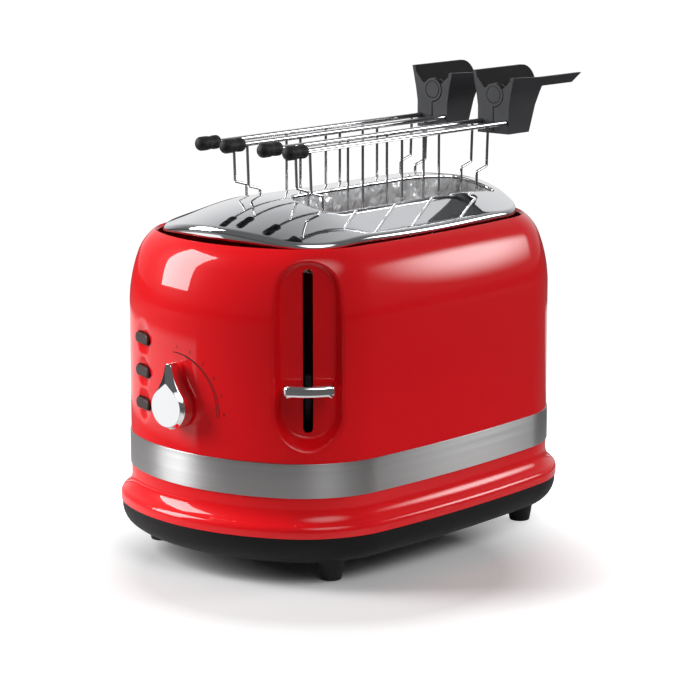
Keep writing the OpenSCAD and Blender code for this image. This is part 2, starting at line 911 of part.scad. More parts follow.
module magnet_coil() {
    color("peru")
        translate([latch_x, latch_y, base_floor_z + 4])
            difference() {
                cylinder(h = pole_z - base_floor_z - 8, r = coil_r);
                block([-core_w / 2 - seat_gap / 2, -core_w / 2 - seat_gap / 2, -1],
                    [core_w / 2 + seat_gap / 2, core_w / 2 + seat_gap / 2, pole_z]);
            }
}

module control_board() {
    color("darkgreen")
        block([board_x, board_y0, board_z0], [board_x + board_t, board_y1, board_z1]);
}

module board_posts() {
    color("silver")
        for (z = [board_z0 + 6, board_z1 - 6])
            translate([board_x + board_t, post_y, z])
                rotate([0, 90, 0]) cylinder(h = front_x - sheet_t - board_x - board_t, r = post_r);
}

module browning_dial_pot() {
    color("#333333")
        translate([board_x - pot_h, knob_y, knob_z])
            rotate([0, 90, 0])
                difference() {
                    cylinder(h = pot_h, r = pot_r);
                    translate([0, 0, -1]) cylinder(h = pot_h - 1, r = shaft_r + running_play);
                }
}

module button_switches() {
    color("#333333")
        for (i = [0 : 2])
            translate([board_x, button_y, button_z + i * button_pitch]) {
                block([-switch_h, -switch_w / 2, -switch_w / 2], [0, switch_w / 2, switch_w / 2]);
                rotate([0, -90, 0]) cylinder(h = switch_h + stalk_h, r = stalk_r);
            }
}

// Drop outline: a round end and a small round pointer joined by a taper
module drop(r, tip_r, reach) {
    tip_y = reach - tip_r;
    circle(r);
    translate([0, tip_y]) circle(tip_r);
    polygon([[-0.92 * r, 0], [0.92 * r, 0], [0.9 * tip_r, tip_y], [-0.9 * tip_r, tip_y]]);
}

module browning_knob() {
    body_h = knob_out - knob_boss_h - knob_bevel;
    color("gainsboro")
        on_wall([0, knob_y], 180, -knob_wall_x, knob_z)
            difference() {
                union() {
                    translate([0, 0, free_gap]) cylinder(h = knob_boss_h, r = knob_boss_r);
                    translate([0, 0, knob_boss_h])
                        linear_extrude(body_h) drop(knob_r, knob_tip_r, knob_reach);
                    translate([0, 0, knob_boss_h + body_h])
                        linear_extrude(knob_bevel)
                            drop(knob_r - knob_bevel, knob_tip_r - knob_bevel, knob_reach - knob_bevel);
                }
                translate([0, 0, -1])
                    cylinder(h = knob_out - 3, r = shaft_r + running_play);
            }
}

module knob_shaft() {
    color("silver")
        translate([knob_wall_x - knob_out + 5, knob_y, knob_z])
            rotate([0, 90, 0])
                cylinder(h = board_x - 3 - knob_wall_x + knob_out - 5, r = shaft_r);
}

// Bar with round ends along X, the shape of a button grown by a gap
module button_prism(grow, x0, x1) {
    r = button_h / 2 + grow;
    reach = button_w / 2 - button_h / 2;
    translate([x0, button_y, 0])
        rotate([0, 90, 0])
            linear_extrude(x1 - x0) stadium(r, -reach, reach);
}

module push_button(i) {
    color("dimgray")
        translate([0, 0, button_z + i * button_pitch])
            intersection() {
                button_prism(0, -2 * half_len, button_in_x);
                translate([-end_cx, 0, -button_h])
                    cylinder(h = 2 * button_h, r = end_r + button_out, $fn = 288);
            }
}

// Wire bent along points in the upright plane of the grid, given as [x, z]
module bent_wire(points, r) {
    last = len(points) - 1;
    heads = [for (i = [0 : last - 1]) (points[i + 1] - points[i]) / norm(points[i + 1] - points[i])];
    turns = [for (i = [0 : last - 2]) turn_between(heads[i], heads[i + 1])];
    trims = [for (turn = turns) bend_r * tan(abs(turn) / 2)];
    rotate([90, 0, 0]) {
        for (i = [0 : last - 1])
            let (from = points[i] + heads[i] * (i == 0 ? 0 : trims[i - 1]),
                to = points[i + 1] - heads[i] * (i == last - 1 ? 0 : trims[i]))
                translate(from)
                    rotate([0, 0, atan2(heads[i].y, heads[i].x)])
                        rotate([0, 90, 0]) cylinder(h = norm(to - from), r = r, $fn = 32);
        for (i = [0 : last - 2])
            let (left = turns[i] > 0 ? 1 : -1, head = left > 0 ? heads[i] : heads[i + 1],
                inward = left * [-heads[i].y, heads[i].x],
                c = points[i + 1] - heads[i] * trims[i] + inward * bend_r)
                translate(c)
                    rotate([0, 0, atan2(head.y, head.x) - 90 * left])
                        rotate_extrude(angle = abs(turns[i]))
                            translate([bend_r, 0]) circle(r, $fn = 32);
    }
}

// Signed turn from one heading to the next
function turn_between(a, b) = atan2(a.x * b.y - a.y * b.x, a.x * b.x + a.y * b.y);

function half_sign(half) = half == "left" ? 1 : -1;
function half_shift(half) = half == "left" ? grid_shift : 0;

// Rod with its hanging wire grid; the end wires step in so that the grid fits the slot
module tong_grid(half) {
    xa = grid_x0 + half_shift(half);
    xb = xa + grid_len;
    color("silver")
        translate([0, half_sign(half) * grid_gap / 2, 0]) {
            translate([rod_x0, 0, rod_z])
                rotate([0, 90, 0]) cylinder(h = rod_x1 - rod_x0, r = rod_r, $fn = 48);
            bent_wire([[xa, rod_z], [xa, jog_z], [xa + grid_jog, jog_z], [xa + grid_jog, grid_low_z],
                [xb - grid_jog, grid_low_z], [xb - grid_jog, jog_z], [xb, jog_z], [xb, rod_z]], wire_r);
            for (share = grid_inner)
                translate([xa + share * grid_len, 0, grid_low_z])
                    cylinder(h = rod_z - grid_low_z, r = wire_r * 0.94, $fn = 32);
        }
}

module tong_tip(half) {
    color("#1c1c1c")
        translate([rod_x0 - 2, half_sign(half) * grid_gap / 2, rod_z])
            rotate([0, 90, 0])
                difference() {
                    union() {
                        translate([0, 0, tip_r / 2]) cylinder(h = tip_len - tip_r / 2, r = tip_r);
                        cylinder(h = tip_r / 2, r1 = tip_r * 0.7, r2 = tip_r);
                    }
                    translate([0, 0, 2 - seat_gap]) cylinder(h = tip_len, r = rod_r + running_play);
                }
}

// Wing of a grip seen along the rods: straight at the rods, flaring out above
module grip_wing() {
    polygon([[grip_wing_low - grip_t, grip_low_z], [grip_wing_low, grip_low_z],
        [grip_wing_low, pivot_z - 7], wing_bend, wing_tip, wing_tip - [grip_t, 0], wing_bend - [grip_t, -0.6],
        [grip_wing_low - grip_t, pivot_z - 6.6]]);
}

// Top of a wing; the one on the right ends a little lower than the one on the left
function wing_top(half) = wing_bend + (wing_tip - wing_bend) * (half == "left" ? 1 : 0.75);

// Front wall of a grip half, from the split line to the wing, notched over the pivot
module grip_front(half) {
    polygon([[grip_split / 2, grip_low_z], [grip_wing_low, grip_low_z], [grip_wing_low, pivot_z - 7],
        wing_bend, wing_top(half), [boss_r, pivot_z + 4], [grip_split / 2, pivot_z + 3]]);
}

// Side outlines of the wings, as [x, z]
module grip_side(half) {
    rear = grip_x + grip_len;
    if (half == "left") {
        polygon([[grip_x, grip_low_z], [rear, grip_low_z], [rear + 10, pivot_z + 3],
            [rear + 36, pivot_z + 3], [rear + 36, grip_top_z - 10], [rear + 26, grip_top_z],
            [grip_x, grip_top_z]]);
        translate([rear + 26, grip_top_z - 10]) quarter(10, 0);
    } else {
        polygon([[grip_x, grip_low_z], [rear, grip_low_z], [rear + 10, pivot_z + 4],
            [rear + 40, pivot_z + 4], [rear + 48, pivot_z + 9.5], [rear + 8, pivot_z + 9.5],
            [grip_x, wing_top(half).y]]);
    }
}

// Lug that carries the pin, from the pivot to the wing
module grip_lug() {
    difference() {
        union() {
            translate([0, pivot_z]) circle(boss_r - 1);
            translate([0, pivot_z - 4]) square([grip_wing_low - grip_t / 2, 8]);
        }
        translate([0, pivot_z]) circle(pin_r + running_play);
    }
}

// Extrudes a plan drawn as [y, z] along the rods
module along_rods(x, length) {
    translate([x, 0, 0])
        rotate([90, 0, 90]) linear_extrude(length) children();
}

// One half of the sprung handle: wing, front wall, rod socket and pin lugs
module tong_grip(half) {
    has_boss = half == "left";
    lug_x = grip_x + front_t + (has_boss ? 2 * lug_t + 6 : seat_gap * 2);
    color("#3a3a3c")
        mirror([0, has_boss ? 0 : 1, 0])
            difference() {
                union() {
                    intersection() {
                        along_rods(grip_x, grip_len + 60) grip_wing();
                        translate([0, 2 * wing_tip.x, 0])
                            rotate([90, 0, 0]) linear_extrude(2 * wing_tip.x) grip_side(half);
                    }
                    along_rods(grip_x, front_t)
                        difference() {
                            union() {
                                grip_front(half);
                                if (has_boss)
                                    translate([0, pivot_z]) circle(boss_r);
                            }
                            translate([0, pivot_z])
                                circle(has_boss ? pin_r + running_play : boss_r + free_gap);
                        }
                    along_rods(lug_x, lug_t) grip_lug();
                    translate([grip_x, grid_gap / 2, rod_z])
                        rotate([0, 90, 0]) cylinder(h = rod_x1 - grip_x + 2, r = socket_r);
                }
                translate([grip_x - 1, grid_gap / 2, rod_z])
                    rotate([0, 90, 0]) cylinder(h = rod_x1 - grip_x + 1 + seat_gap, r = rod_r + running_play);
                if (has_boss)
                    translate([grip_x - 1, 0, pivot_z])
                        rotate([0, 90, 0]) cylinder(h = 1 + pin_head_h, r = pin_head_r + seat_gap);
            }
}

module tong_pin() {
    color("#303032")
        translate([grip_x, 0, pivot_z])
            rotate([0, 90, 0]) {
                cylinder(h = pin_head_h - seat_gap, r = pin_head_r);
                cylinder(h = pin_len, r = pin_r);
            }
}

module tong_spring() {
    low = front_t + lug_t + 3 * seat_gap;
    color("silver")
        translate([grip_x, 0, pivot_z])
            rotate([0, 90, 0])
                helix(tong_spring_r, spring_wire_r, low, front_t + 2 * lug_t + 6 - seat_gap, 5);
}

// Draws one piece of the tong in the slot on the given side
module tong_piece(side, piece) {
    translate([0, slot_y(side), 0]) {
        if (piece == "pin") tong_pin();
        if (piece == "spring") tong_spring();
        for (half = HALVES) {
            if (piece == str(half, "_grip")) tong_grip(half);
            if (piece == str(half, "_grid")) tong_grid(half);
            if (piece == str(half, "_tip")) tong_tip(half);
        }
    }
}

outer_shell();
trim_band();
base_pan();
feet();
base_screws();
cord_gland();
crumb_tray();
top_plate();
slot_liner("near");  // near_slot_liner
slot_liner("far");  // far_slot_liner
front_end_plate();
rear_end_plate();
heater_card(-card_y);  // near_heater_card
heater_card(0);  // centre_heater_card
heater_card(card_y);  // far_heater_card
heater_ribbon(-card_y, 1);  // near_heater_ribbon
for (face = [-1, 1]) heater_ribbon(0, face);  // centre_heater_ribbons
heater_ribbon(card_y, -1);  // far_heater_ribbon
bread_guards();
guide_rod();
lift_spring();
carriage_bracket();
lever_stem();
lever_handle();
bread_rack("near");  // near_bread_rack
bread_rack("far");  // far_bread_rack
latch_plate();
magnet_core();
magnet_coil();
control_board();
board_posts();
browning_dial_pot();
button_switches();
browning_knob();
knob_shaft();
for (i = [0 : 2])
    push_button(i);
for (side = SIDES, piece = ["pin", "spring", "left_grip", "left_grid", "left_tip", "right_grip",
        "right_grid", "right_tip"])
    tong_piece(side, piece);
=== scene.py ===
"""Two-slot toaster with sandwich tongs: the finished surfaces round the construction frame."""

import json
import math
from types import SimpleNamespace
from typing import NamedTuple

import bmesh
import bpy
from mathutils import Matrix, Vector
from mathutils.geometry import delaunay_2d_cdt


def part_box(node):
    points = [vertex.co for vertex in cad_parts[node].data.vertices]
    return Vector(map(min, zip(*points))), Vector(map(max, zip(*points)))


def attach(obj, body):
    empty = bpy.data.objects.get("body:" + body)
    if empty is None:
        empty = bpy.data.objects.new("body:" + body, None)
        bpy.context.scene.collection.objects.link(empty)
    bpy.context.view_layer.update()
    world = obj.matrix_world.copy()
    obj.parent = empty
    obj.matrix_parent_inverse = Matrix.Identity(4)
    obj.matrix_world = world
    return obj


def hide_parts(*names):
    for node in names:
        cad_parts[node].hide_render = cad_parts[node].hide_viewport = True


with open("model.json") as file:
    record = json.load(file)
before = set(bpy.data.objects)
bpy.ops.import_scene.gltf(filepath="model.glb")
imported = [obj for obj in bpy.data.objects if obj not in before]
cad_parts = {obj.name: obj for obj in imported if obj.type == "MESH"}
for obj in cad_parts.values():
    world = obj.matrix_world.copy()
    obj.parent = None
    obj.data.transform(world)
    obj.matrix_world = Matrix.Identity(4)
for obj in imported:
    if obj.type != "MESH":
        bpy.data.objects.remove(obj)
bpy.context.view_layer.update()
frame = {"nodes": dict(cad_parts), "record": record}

bl_info = {
    "name": "Two-slot Toaster",
    "version": (1, 0, 0),
    "blender": (4, 5, 0),
    "location": "View3D > Sidebar > Toaster",
    "description": "Builds the finished surfaces of a two-slot toaster with sandwich tongs",
    "category": "Object",
}

MM = 0.001
UP = Vector((0, 0, 1))
SIDES = {"near": -1, "far": 1}
HALVES = {"left": 1, "right": -1}
BUTTONS = ("cancel", "reheat", "defrost")
SLOT_OF = {part["node"]: part["material_slot"] for part in frame["record"]["subparts"]}


# Sizes from the frame

def box_mm(node):
    """Lowest and highest corner of a construction node, in millimetres."""
    low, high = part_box(node)
    return low / MM, high / MM


BAND_LOW, BAND_HIGH = box_mm("trim_band")
SHELL_LOW, SHELL_HIGH = box_mm("outer_shell")
PLATE_HIGH = box_mm("top_plate")[1]
LINER_LOW, LINER_HIGH = box_mm("near_slot_liner")
LEVER_LOW, LEVER_HIGH = box_mm("lever_handle")
KNOB_LOW, KNOB_HIGH = box_mm("browning_knob")
BUTTON_LOW, BUTTON_HIGH = box_mm("cancel_button")
NEXT_BUTTON_LOW = box_mm("reheat_button")[0]
GRID_LOW, GRID_HIGH = box_mm("near_tong_right_grid")
TIP_LOW, TIP_HIGH = box_mm("near_tong_right_tip")
# How far the band stands out of the painted wall, and the thickness of the liners
BAND_OUT = 0.65
LINER_T = 0.8
# Knob axis across the end and its height
KNOB_Y = 7
KNOB_Z = 95
# Radii of the tongs' rods and grid wires
ROD_R = 1.5
WIRE_R = 0.8


# Properties

def length(name, mm, description):
    """A length property whose default is given in millimetres."""
    return bpy.props.FloatProperty(
        name=name, description=description, default=mm * MM, unit="LENGTH", precision=5)


def angle(name, degrees, description):
    """An angle property whose default is given in degrees."""
    return bpy.props.FloatProperty(
        name=name, description=description, default=math.radians(degrees), subtype="ANGLE")


def colour(name, default, description):
    """A colour property with alpha."""
    return bpy.props.FloatVectorProperty(
        name=name, description=description, default=default, size=4, min=0, max=1, subtype="COLOR")


class ToasterBody(bpy.types.PropertyGroup):
    """Plan and section of the painted body."""
    half_len: length("Half length", BAND_HIGH.x - BAND_OUT, "From the middle to the painted end")
    half_wid: length("Half width", BAND_HIGH.y - BAND_OUT, "From the middle to the painted side")
    corner_r: length("Corner radius", 56, "Plan radius of the corners")
    end_turn: angle("End turn", 28, "Half turn of a bulging end")
    side_bow: angle("Side bow", 5, "Half turn of a bulging side")
    wall_t: length("Wall", 2, "Thickness of the painted sheet")
    skirt_z: length("Skirt edge", SHELL_LOW.z, "Height of the skirt's lower edge")
    shoulder_z: length("Shoulder", 141.9, "Height where the wall starts to lean in")
    shoulder_r: length("Shoulder radius", 85, "Radius where the wall starts to lean in")
    rim_r: length("Rim radius", 26, "Tighter radius next to the rim")
    rim_lean: angle("Rim lean", 55.5, "Lean of the wall at the rim")
    lip_r: length("Lip radius", 4, "Radius of the skirt's rolled lip")
    lip_h: length("Lip height", 3.5, "Straight height of the lip")
    lip_fillet: length("Lip fillet", 9.75, "Hollow fillet between lip and wall")


class ToasterTop(bpy.types.PropertyGroup):
    """Top plate and slots."""
    crown_z: length("Crown", PLATE_HIGH.z - 1.3, "Height of the dome")
    crown_r: length("Crown radius", 108, "Radius of the dome across the slots")
    crown_half: length("Crown half width", 39, "Half width of the round crown; straight slopes lie beyond")
    lever_end_x: length("Lever end", 50, "Where the dome starts to fall towards the lever end")
    lever_end_r: length("Lever end radius", 135, "Radius of the fall towards the lever end")
    handle_end_x: length("Handle end", 42, "Where the dome starts to fall towards the handle end")
    handle_end_r: length("Handle end radius", 370, "Radius of the fall towards the handle end")
    edge_in: length("Edge", 19.4, "Distance from the wall's outline in to the plate's edge")
    roll_r: length("Roll radius", 2, "Radius of the rolled edge")
    slot_x0: length("Slot start", LINER_LOW.x + LINER_T, "Round end of the slots")
    slot_x1: length("Slot end", LINER_HIGH.x - LINER_T, "Square end of the slots")
    slot_w: length("Slot width", LINER_HIGH.y - LINER_LOW.y - 2 * LINER_T, "Width of a slot")
    slot_y: length("Slot place", -(LINER_LOW.y + LINER_HIGH.y) / 2, "From the middle to a slot")
    round_r: length("Round end radius", 12, "Corner radius at the control end")
    square_r: length("Square end radius", 4, "Corner radius at the handle end")
    liner_d: length("Liner depth", PLATE_HIGH.z - LINER_LOW.z, "Depth of the bright liners under the crown")


class ToasterControls(bpy.types.PropertyGroup):
    """Lever, knob and buttons."""
    lever_turn: angle("Lever angle", 224, "Plan direction of the lever")
    lever_z: length("Lever height", (LEVER_LOW.z + LEVER_HIGH.z) / 2, "Height of the lever handle")
    lever_h: length("Lever thickness", LEVER_HIGH.z - LEVER_LOW.z, "Thickness of the lever handle")
    lever_w: length("Lever width", 28, "Width of the lever handle")
    lever_in: length("Lever back", 48.5, "Back of the handle from the corner's middle")
    lever_out: length("Lever front", 64, "Front of the handle from the corner's middle")
    nose_r: length("Nose radius", 34, "Bow of the handle's front")
    floor_r: length("Recess floor", 45.5, "Floor of the recess from the corner's middle")
    recess_r: length("Recess half width", 15, "Half width of the recess floor")
    recess_low: length("Recess low", 96, "Middle of the recess's lower end")
    recess_top: length("Recess top", 162.2, "Middle of the recess's upper end")
    slot_half: length("Lever slot", 2.75, "Half width of the slot the lever runs in")
    slot_low: length("Lever slot low", 86.5, "Middle of the slot's lower end")
    slot_top: length("Lever slot top", 171.5, "Middle of the slot's upper end")
    knob_y: length("Knob place", KNOB_Y, "Knob axis across the end")
    knob_z: length("Knob height", KNOB_Z, "Height of the knob axis")
    knob_r: length("Knob radius", KNOB_HIGH.y - KNOB_Y, "Radius of the round part")
    knob_reach: length("Pointer reach", KNOB_HIGH.z - KNOB_Z, "From the axis to the pointer's tip")
    knob_tip_r: length("Pointer radius", 2.6, "Radius of the pointer's tip")
    knob_face_x: length("Knob face", KNOB_LOW.x, "Place of the knob's face")
    knob_back_x: length("Knob back", KNOB_HIGH.x, "Back of the knob's boss")
    boss_r: length("Boss radius", 7.5, "Radius of the boss behind the knob")
    button_y: length("Button place", (BUTTON_LOW.y + BUTTON_HIGH.y) / 2, "Buttons across the end")
    button_w: length("Button width", BUTTON_HIGH.y - BUTTON_LOW.y, "Width of a button")
    button_h: length("Button height", BUTTON_HIGH.z - BUTTON_LOW.z, "Height of a button")
    button_z: length("Lowest button", (BUTTON_LOW.z + BUTTON_HIGH.z) / 2, "Height of the lowest button")
    button_pitch: length("Button pitch", NEXT_BUTTON_LOW.z - BUTTON_LOW.z, "Distance between buttons")
    button_out: length("Button stand", 1.8, "How far a button stands out of the wall")
    button_in_x: length("Button back", BUTTON_HIGH.x, "Inner end of a button")
    dish_r: length("Dish radius", 36, "Radius of the hollow round a button")
    dish_d: length("Dish depth", 1.2, "Depth of the hollow round a button")


class ToasterTongs(bpy.types.PropertyGroup):
    """Wire grids and rubber tips of the tongs."""
    rod_r: length("Rod radius", ROD_R, "Radius of a rod")
    rod_z: length("Rod height", GRID_HIGH.z - ROD_R, "Height of the rods")
    rod_x0: length("Rod start", GRID_LOW.x, "End of the rods in the tips")
    rod_x1: length("Rod end", GRID_HIGH.x, "End of the rods in the handles")
    wire_r: length("Wire radius", WIRE_R, "Radius of a grid wire")
    grid_gap: length("Grid gap", 18.8, "Distance between the two grids")
    grid_x0: length("Grid start", -65.2, "First wire of the right grid")
    grid_len: length("Grid length", 158.4, "Between the end wires of a grid")
    grid_shift: length("Grid shift", 9, "Shift of the left grid along the rods")
    grid_jog: length("Grid step", 11.4, "Inward step of the end wires")
    jog_z: length("Step height", 207.8, "Height of the inward step")
    low_z: length("Grid foot", GRID_LOW.z + WIRE_R, "Height of the grid's lowest wire")
    bend_r: length("Bend radius", 2, "Radius of the wire bends")
    tip_r: length("Tip radius", (TIP_HIGH.y - TIP_LOW.y) / 2, "Radius of a rubber tip")


class ToasterFinish(bpy.types.PropertyGroup):
    """Colours of the finishes."""
    red_paint: colour("Red paint", (0.88, 0.006, 0.011, 1), "Gloss paint of the body")
    satin_steel: colour("Satin steel", (0.44, 0.44, 0.44, 1), "Brushed waist band")
    bright_steel: colour("Bright steel", (0.80, 0.81, 0.82, 1), "Plate, lever and knob")
    crinkled_steel: colour("Crinkled steel", (0.92, 0.93, 0.94, 1), "Faces of the slot liners")
    bright_wire: colour("Bright wire", (0.62, 0.62, 0.63, 1), "Tong grids and inner wires")
    # Chassis grey darkened below the sheets' own as painted shade, so the chassis seen through the lever slot
    # looks dark
    zinc_steel: colour("Zinc steel", (0.28, 0.285, 0.295, 1), "Chassis sheets")
    black_plastic: colour("Black plastic", (0.005, 0.005, 0.006, 1), "Base")
    black_rubber: colour("Black rubber", (0.010, 0.010, 0.010, 1), "Feet and tips")
    handle_plastic: colour("Handle plastic", (0.036, 0.037, 0.041, 1), "Tong handles")
    # Painted shade: the inside of the tong handles is made near-black
    black_lining: colour("Black lining", (0.004, 0.004, 0.004, 1), "Inside of the tong handles")
    dark_plastic: colour("Dark plastic", (0.03, 0.03, 0.032, 1), "Inner plastic pieces")
    # Dark grey push buttons; their reddish tint is painted reflection of the red paint round them
    dark_satin: colour("Dark satin", (0.050, 0.030, 0.029, 1), "Push buttons")
    dark_tray: colour("Dark tray", (0.02, 0.02, 0.02, 1), "Crumb tray")
    mica: colour("Mica", (0.55, 0.45, 0.28, 1), "Heater cards")
    heater_alloy: colour("Heater alloy", (0.35, 0.30, 0.26, 1), "Heater ribbons")
    copper_winding: colour("Copper winding", (0.55, 0.22, 0.08, 1), "Magnet coil")
    green_board: colour("Green board", (0.01, 0.12, 0.04, 1), "Control board")
    dial_print: colour("Dial print", (0.020, 0.004, 0.005, 1), "Scale and numbers round the knob")


GROUPS = {
    "toaster_body": ToasterBody, "toaster_top": ToasterTop, "toaster_controls": ToasterControls,
    "toaster_tongs": ToasterTongs, "toaster_finish": ToasterFinish}


def sizes(name):
    """A property group's lengths in millimetres and its angles in radians."""
    group = getattr(bpy.context.scene, "toaster_" + name)
    values = {}
    for key in group.__annotations__:
        unit = group.bl_rna.properties[key].unit
        values[key] = getattr(group, key) / MM if unit == "LENGTH" else getattr(group, key)
    return SimpleNamespace(**values)


# Plan of the body

class Outline:
    """Eight arcs that run into each other without a corner."""

    def __init__(self, body):
        end_lean = math.tan(body.end_turn / 2)
        side_lean = math.tan(body.side_bow / 2)
        free_len = body.half_len - body.corner_r
        free_wid = body.half_wid - body.corner_r
        self.corner_x = (free_len - free_wid * end_lean) / (1 - end_lean * side_lean)
        self.corner_y = free_wid - self.corner_x * side_lean
        self.corner_r = body.corner_r
        self.end_r = body.corner_r + self.corner_y / math.sin(body.end_turn)
        self.side_r = body.corner_r + self.corner_x / math.sin(body.side_bow)
        self.end_x = body.half_len - self.end_r
        self.side_y = body.half_wid - self.side_r
        self.half_len = body.half_len
        self.end_turn = body.end_turn
        self.side_turn = math.pi / 2 - body.side_bow
        self.lever_c = Vector((-self.corner_x, -self.corner_y))

    def arcs(self):
        """Centre, radius, start and end angle of each stretch, round from the middle of the +X end."""
        end, side, half, full = self.end_turn, self.side_turn, math.pi, 2 * math.pi
        x, y, r = self.corner_x, self.corner_y, self.corner_r
        return [
            ((self.end_x, 0), self.end_r, 0, end),
            ((x, y), r, end, side),
            ((0, self.side_y), self.side_r, side, half - side),
            ((-x, y), r, half - side, half - end),
            ((-self.end_x, 0), self.end_r, half - end, half + end),
            ((-x, -y), r, half + end, half + side),
            ((0, -self.side_y), self.side_r, half + side, full - side),
            ((x, -y), r, full - side, full - end),
            ((self.end_x, 0), self.end_r, full - end, full)]

    def ring(self, out, step):
        """Points of the outline moved out by a distance."""
        points = []
        for (cx, cy), r, start, end in self.arcs():
            count = max(1, round(r * (end - start) / step))
            for i in range(count):
                turn = start + (end - start) * i / count
                points.append(Vector((cx + (r + out) * math.cos(turn), cy + (r + out) * math.sin(turn))))
        return points

    def offset(self, x, y):
        """Distance of a plan point out from the outline."""
        x, y = abs(x), abs(y)
        if math.atan2(y, x - self.end_x) <= self.end_turn:
            return math.hypot(x - self.end_x, y) - self.end_r
        if math.atan2(y - self.side_y, x) >= self.side_turn:
            return math.hypot(x, y - self.side_y) - self.side_r
        return math.hypot(x - self.corner_x, y - self.corner_y) - self.corner_r

    def end_point(self, across, z, out):
        """Point on the control end, by its arc length from the middle, moved out."""
        turn = math.pi - across / self.end_r
        r = self.end_r + out
        return Vector((r * math.cos(turn) - self.end_x, r * math.sin(turn), z))


# Drawing helpers

def smooth_min(a, b, k):
    """Lower of two values, rounded where they cross."""
    mix = max(k - abs(a - b), 0) / k
    return min(a, b) - mix * mix * k / 4


def smooth_max(a, b, k):
    """Higher of two values, rounded where they cross."""
    return -smooth_min(-a, -b, k)


def arc_points(centre, r, start, end, step):
    """Points of an arc from start, without its last point."""
    count = max(1, round(abs(end - start) * r / step))
    turns = (start + (end - start) * i / count for i in range(count))
    return [(centre[0] + r * math.cos(turn), centre[1] + r * math.sin(turn)) for turn in turns]


def line_points(start, end, step):
    """Points of a straight line from start, without its last point."""
    start, end = Vector(start), Vector(end)
    count = max(1, round((end - start).length / step))
    return [tuple(start.lerp(end, i / count)) for i in range(count)]


def stadium_distance(across, up, half, low, top):
    """Distance out from an upright bar with round ends."""
    return math.hypot(across, up - min(max(up, low), top)) - half


def draw_chain(bm, points, closed):
    """A chain of edges through points."""
    verts = [bm.verts.new(p) for p in points]
    pairs = list(zip(verts, verts[1:])) + ([(verts[-1], verts[0])] if closed else [])
    return verts, [bm.edges.new(pair) for pair in pairs]


def sweep(bm, outline, section, closed, stretches):
    """Carries a section of (out, z) points round the outline by spinning it about each arc in turn."""
    verts, edges = draw_chain(bm, [(outline.half_len + out, 0, z) for out, z in section], closed)
    geom = verts + edges
    for index, (centre, r, start, end) in enumerate(outline.arcs()):
        for low, high, step in stretches(index, start, end):
            made = bmesh.ops.spin(
                bm, geom=geom, cent=(*centre, 0), axis=UP, dvec=(0, 0, 0), angle=high - low,
                steps=max(1, round(r * (high - low) / step)), use_merge=False)
            geom = made["geom_last"]
    bmesh.ops.remove_doubles(bm, verts=bm.verts, dist=0.01)
    bmesh.ops.recalc_face_normals(bm, faces=bm.faces)
    end_face = max(bm.faces, key=lambda face: face.calc_center_median().x)
    if end_face.normal.x < 0:
        bmesh.ops.reverse_faces(bm, faces=bm.faces)


def loft(bm, rings, capped=True):
    """A skin over closed rings of equally many points."""
    loops = [draw_chain(bm, ring, True)[1] for ring in rings]
    for low, high in zip(loops, loops[1:]):
        bmesh.ops.bridge_loops(bm, edges=low + high)
    if capped:
        for loop in (loops[0], loops[-1]):
            bmesh.ops.edgeloop_fill(bm, edges=loop)
    bmesh.ops.recalc_face_normals(bm, faces=bm.faces)


def lathe(bm, section, centre, axis, side, steps=48):
    """A turned form: (along, radius) points spun about an axis through a centre."""
    centre, axis, side = Vector(centre), Vector(axis), Vector(side)
    verts, edges = draw_chain(bm, [centre + axis * along + side * r for along, r in section], False)
    bmesh.ops.spin(bm, geom=verts + edges, cent=centre, axis=axis, dvec=(0, 0, 0),
                   angle=2 * math.pi, steps=steps, use_merge=True)
    bmesh.ops.remove_doubles(bm, verts=bm.verts, dist=0.005)
    bmesh.ops.recalc_face_normals(bm, faces=bm.faces)


def round_edges(bm, edges, r, segments):
    """Rounds edges of a bmesh."""
    bmesh.ops.bevel(bm, geom=edges, offset=r, offset_type="OFFSET", segments=segments, profile=0.5,
                    affect="EDGES", material=-1)


def cut_hole(bm, distance):
    """Opens a hole in a fine grid: vertices beside its outline slide onto it, faces within it go.
    distance gives a point's distance out from the outline, or None far from it."""
    level = {}
    for vert in bm.verts:
        found = distance(vert.co)
        if found is not None:
            level[vert] = found
    for edge in bm.edges:
        a, b = edge.verts
        if a in level and b in level and level[a] * level[b] < 0:
            if abs(level[a]) > abs(level[b]):
                a, b = b, a
            a.co = a.co.lerp(b.co, level[a] / (level[a] - level[b]))
            level[a] = 0.0
    on_line = [vert for vert, found in level.items() if found == 0.0]
    bmesh.ops.connect_verts(bm, verts=on_line)
    inside = [face for face in bm.faces if any(level.get(vert, 1) < 0 for vert in face.verts)]
    bmesh.ops.delete(bm, geom=inside, context="FACES")


def add_piece(name, bm, body, slot, nodes=(), sharp=None, material=None):
    """Makes a bmesh drawn in millimetres a piece that rides on a body and stands for its nodes."""
    bmesh.ops.scale(bm, vec=(MM, MM, MM), verts=bm.verts)
    mesh = bpy.data.meshes.new(name)
    bm.to_mesh(mesh)
    bm.free()
    return add_mesh(name, mesh, body, slot, nodes, sharp, material)


def add_mesh(name, mesh, body, slot, nodes=(), sharp=None, material=None):
    """Makes a mesh in metres a smooth-shaded piece."""
    mesh.shade_smooth()
    if sharp is not None:
        mesh.set_sharp_from_angle(angle=math.radians(sharp))
    piece = bpy.data.objects.new(name, mesh)
    bpy.context.scene.collection.objects.link(piece)
    mesh.materials.clear()
    mesh.materials.append(material or finish(slot))
    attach(piece, body)
    if nodes:
        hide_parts(*nodes)
    return piece


def add_sheet(piece, wall_mm):
    """Gives a piece's skin a wall, inwards."""
    wall = piece.modifiers.new("sheet", "SOLIDIFY")
    wall.thickness = wall_mm * MM
    wall.offset = -1


def add_bevel(piece, width_mm, limit):
    """Rounds edges sharper than a limit in degrees and keeps the large faces flat."""
    bevel = piece.modifiers.new("rounded edges", "BEVEL")
    bevel.width = width_mm * MM
    bevel.segments = 2
    bevel.limit_method = "ANGLE"
    bevel.angle_limit = math.radians(limit)
    bevel.use_clamp_overlap = True
    bevel.miter_outer = "MITER_ARC"
    keep_flat(piece)


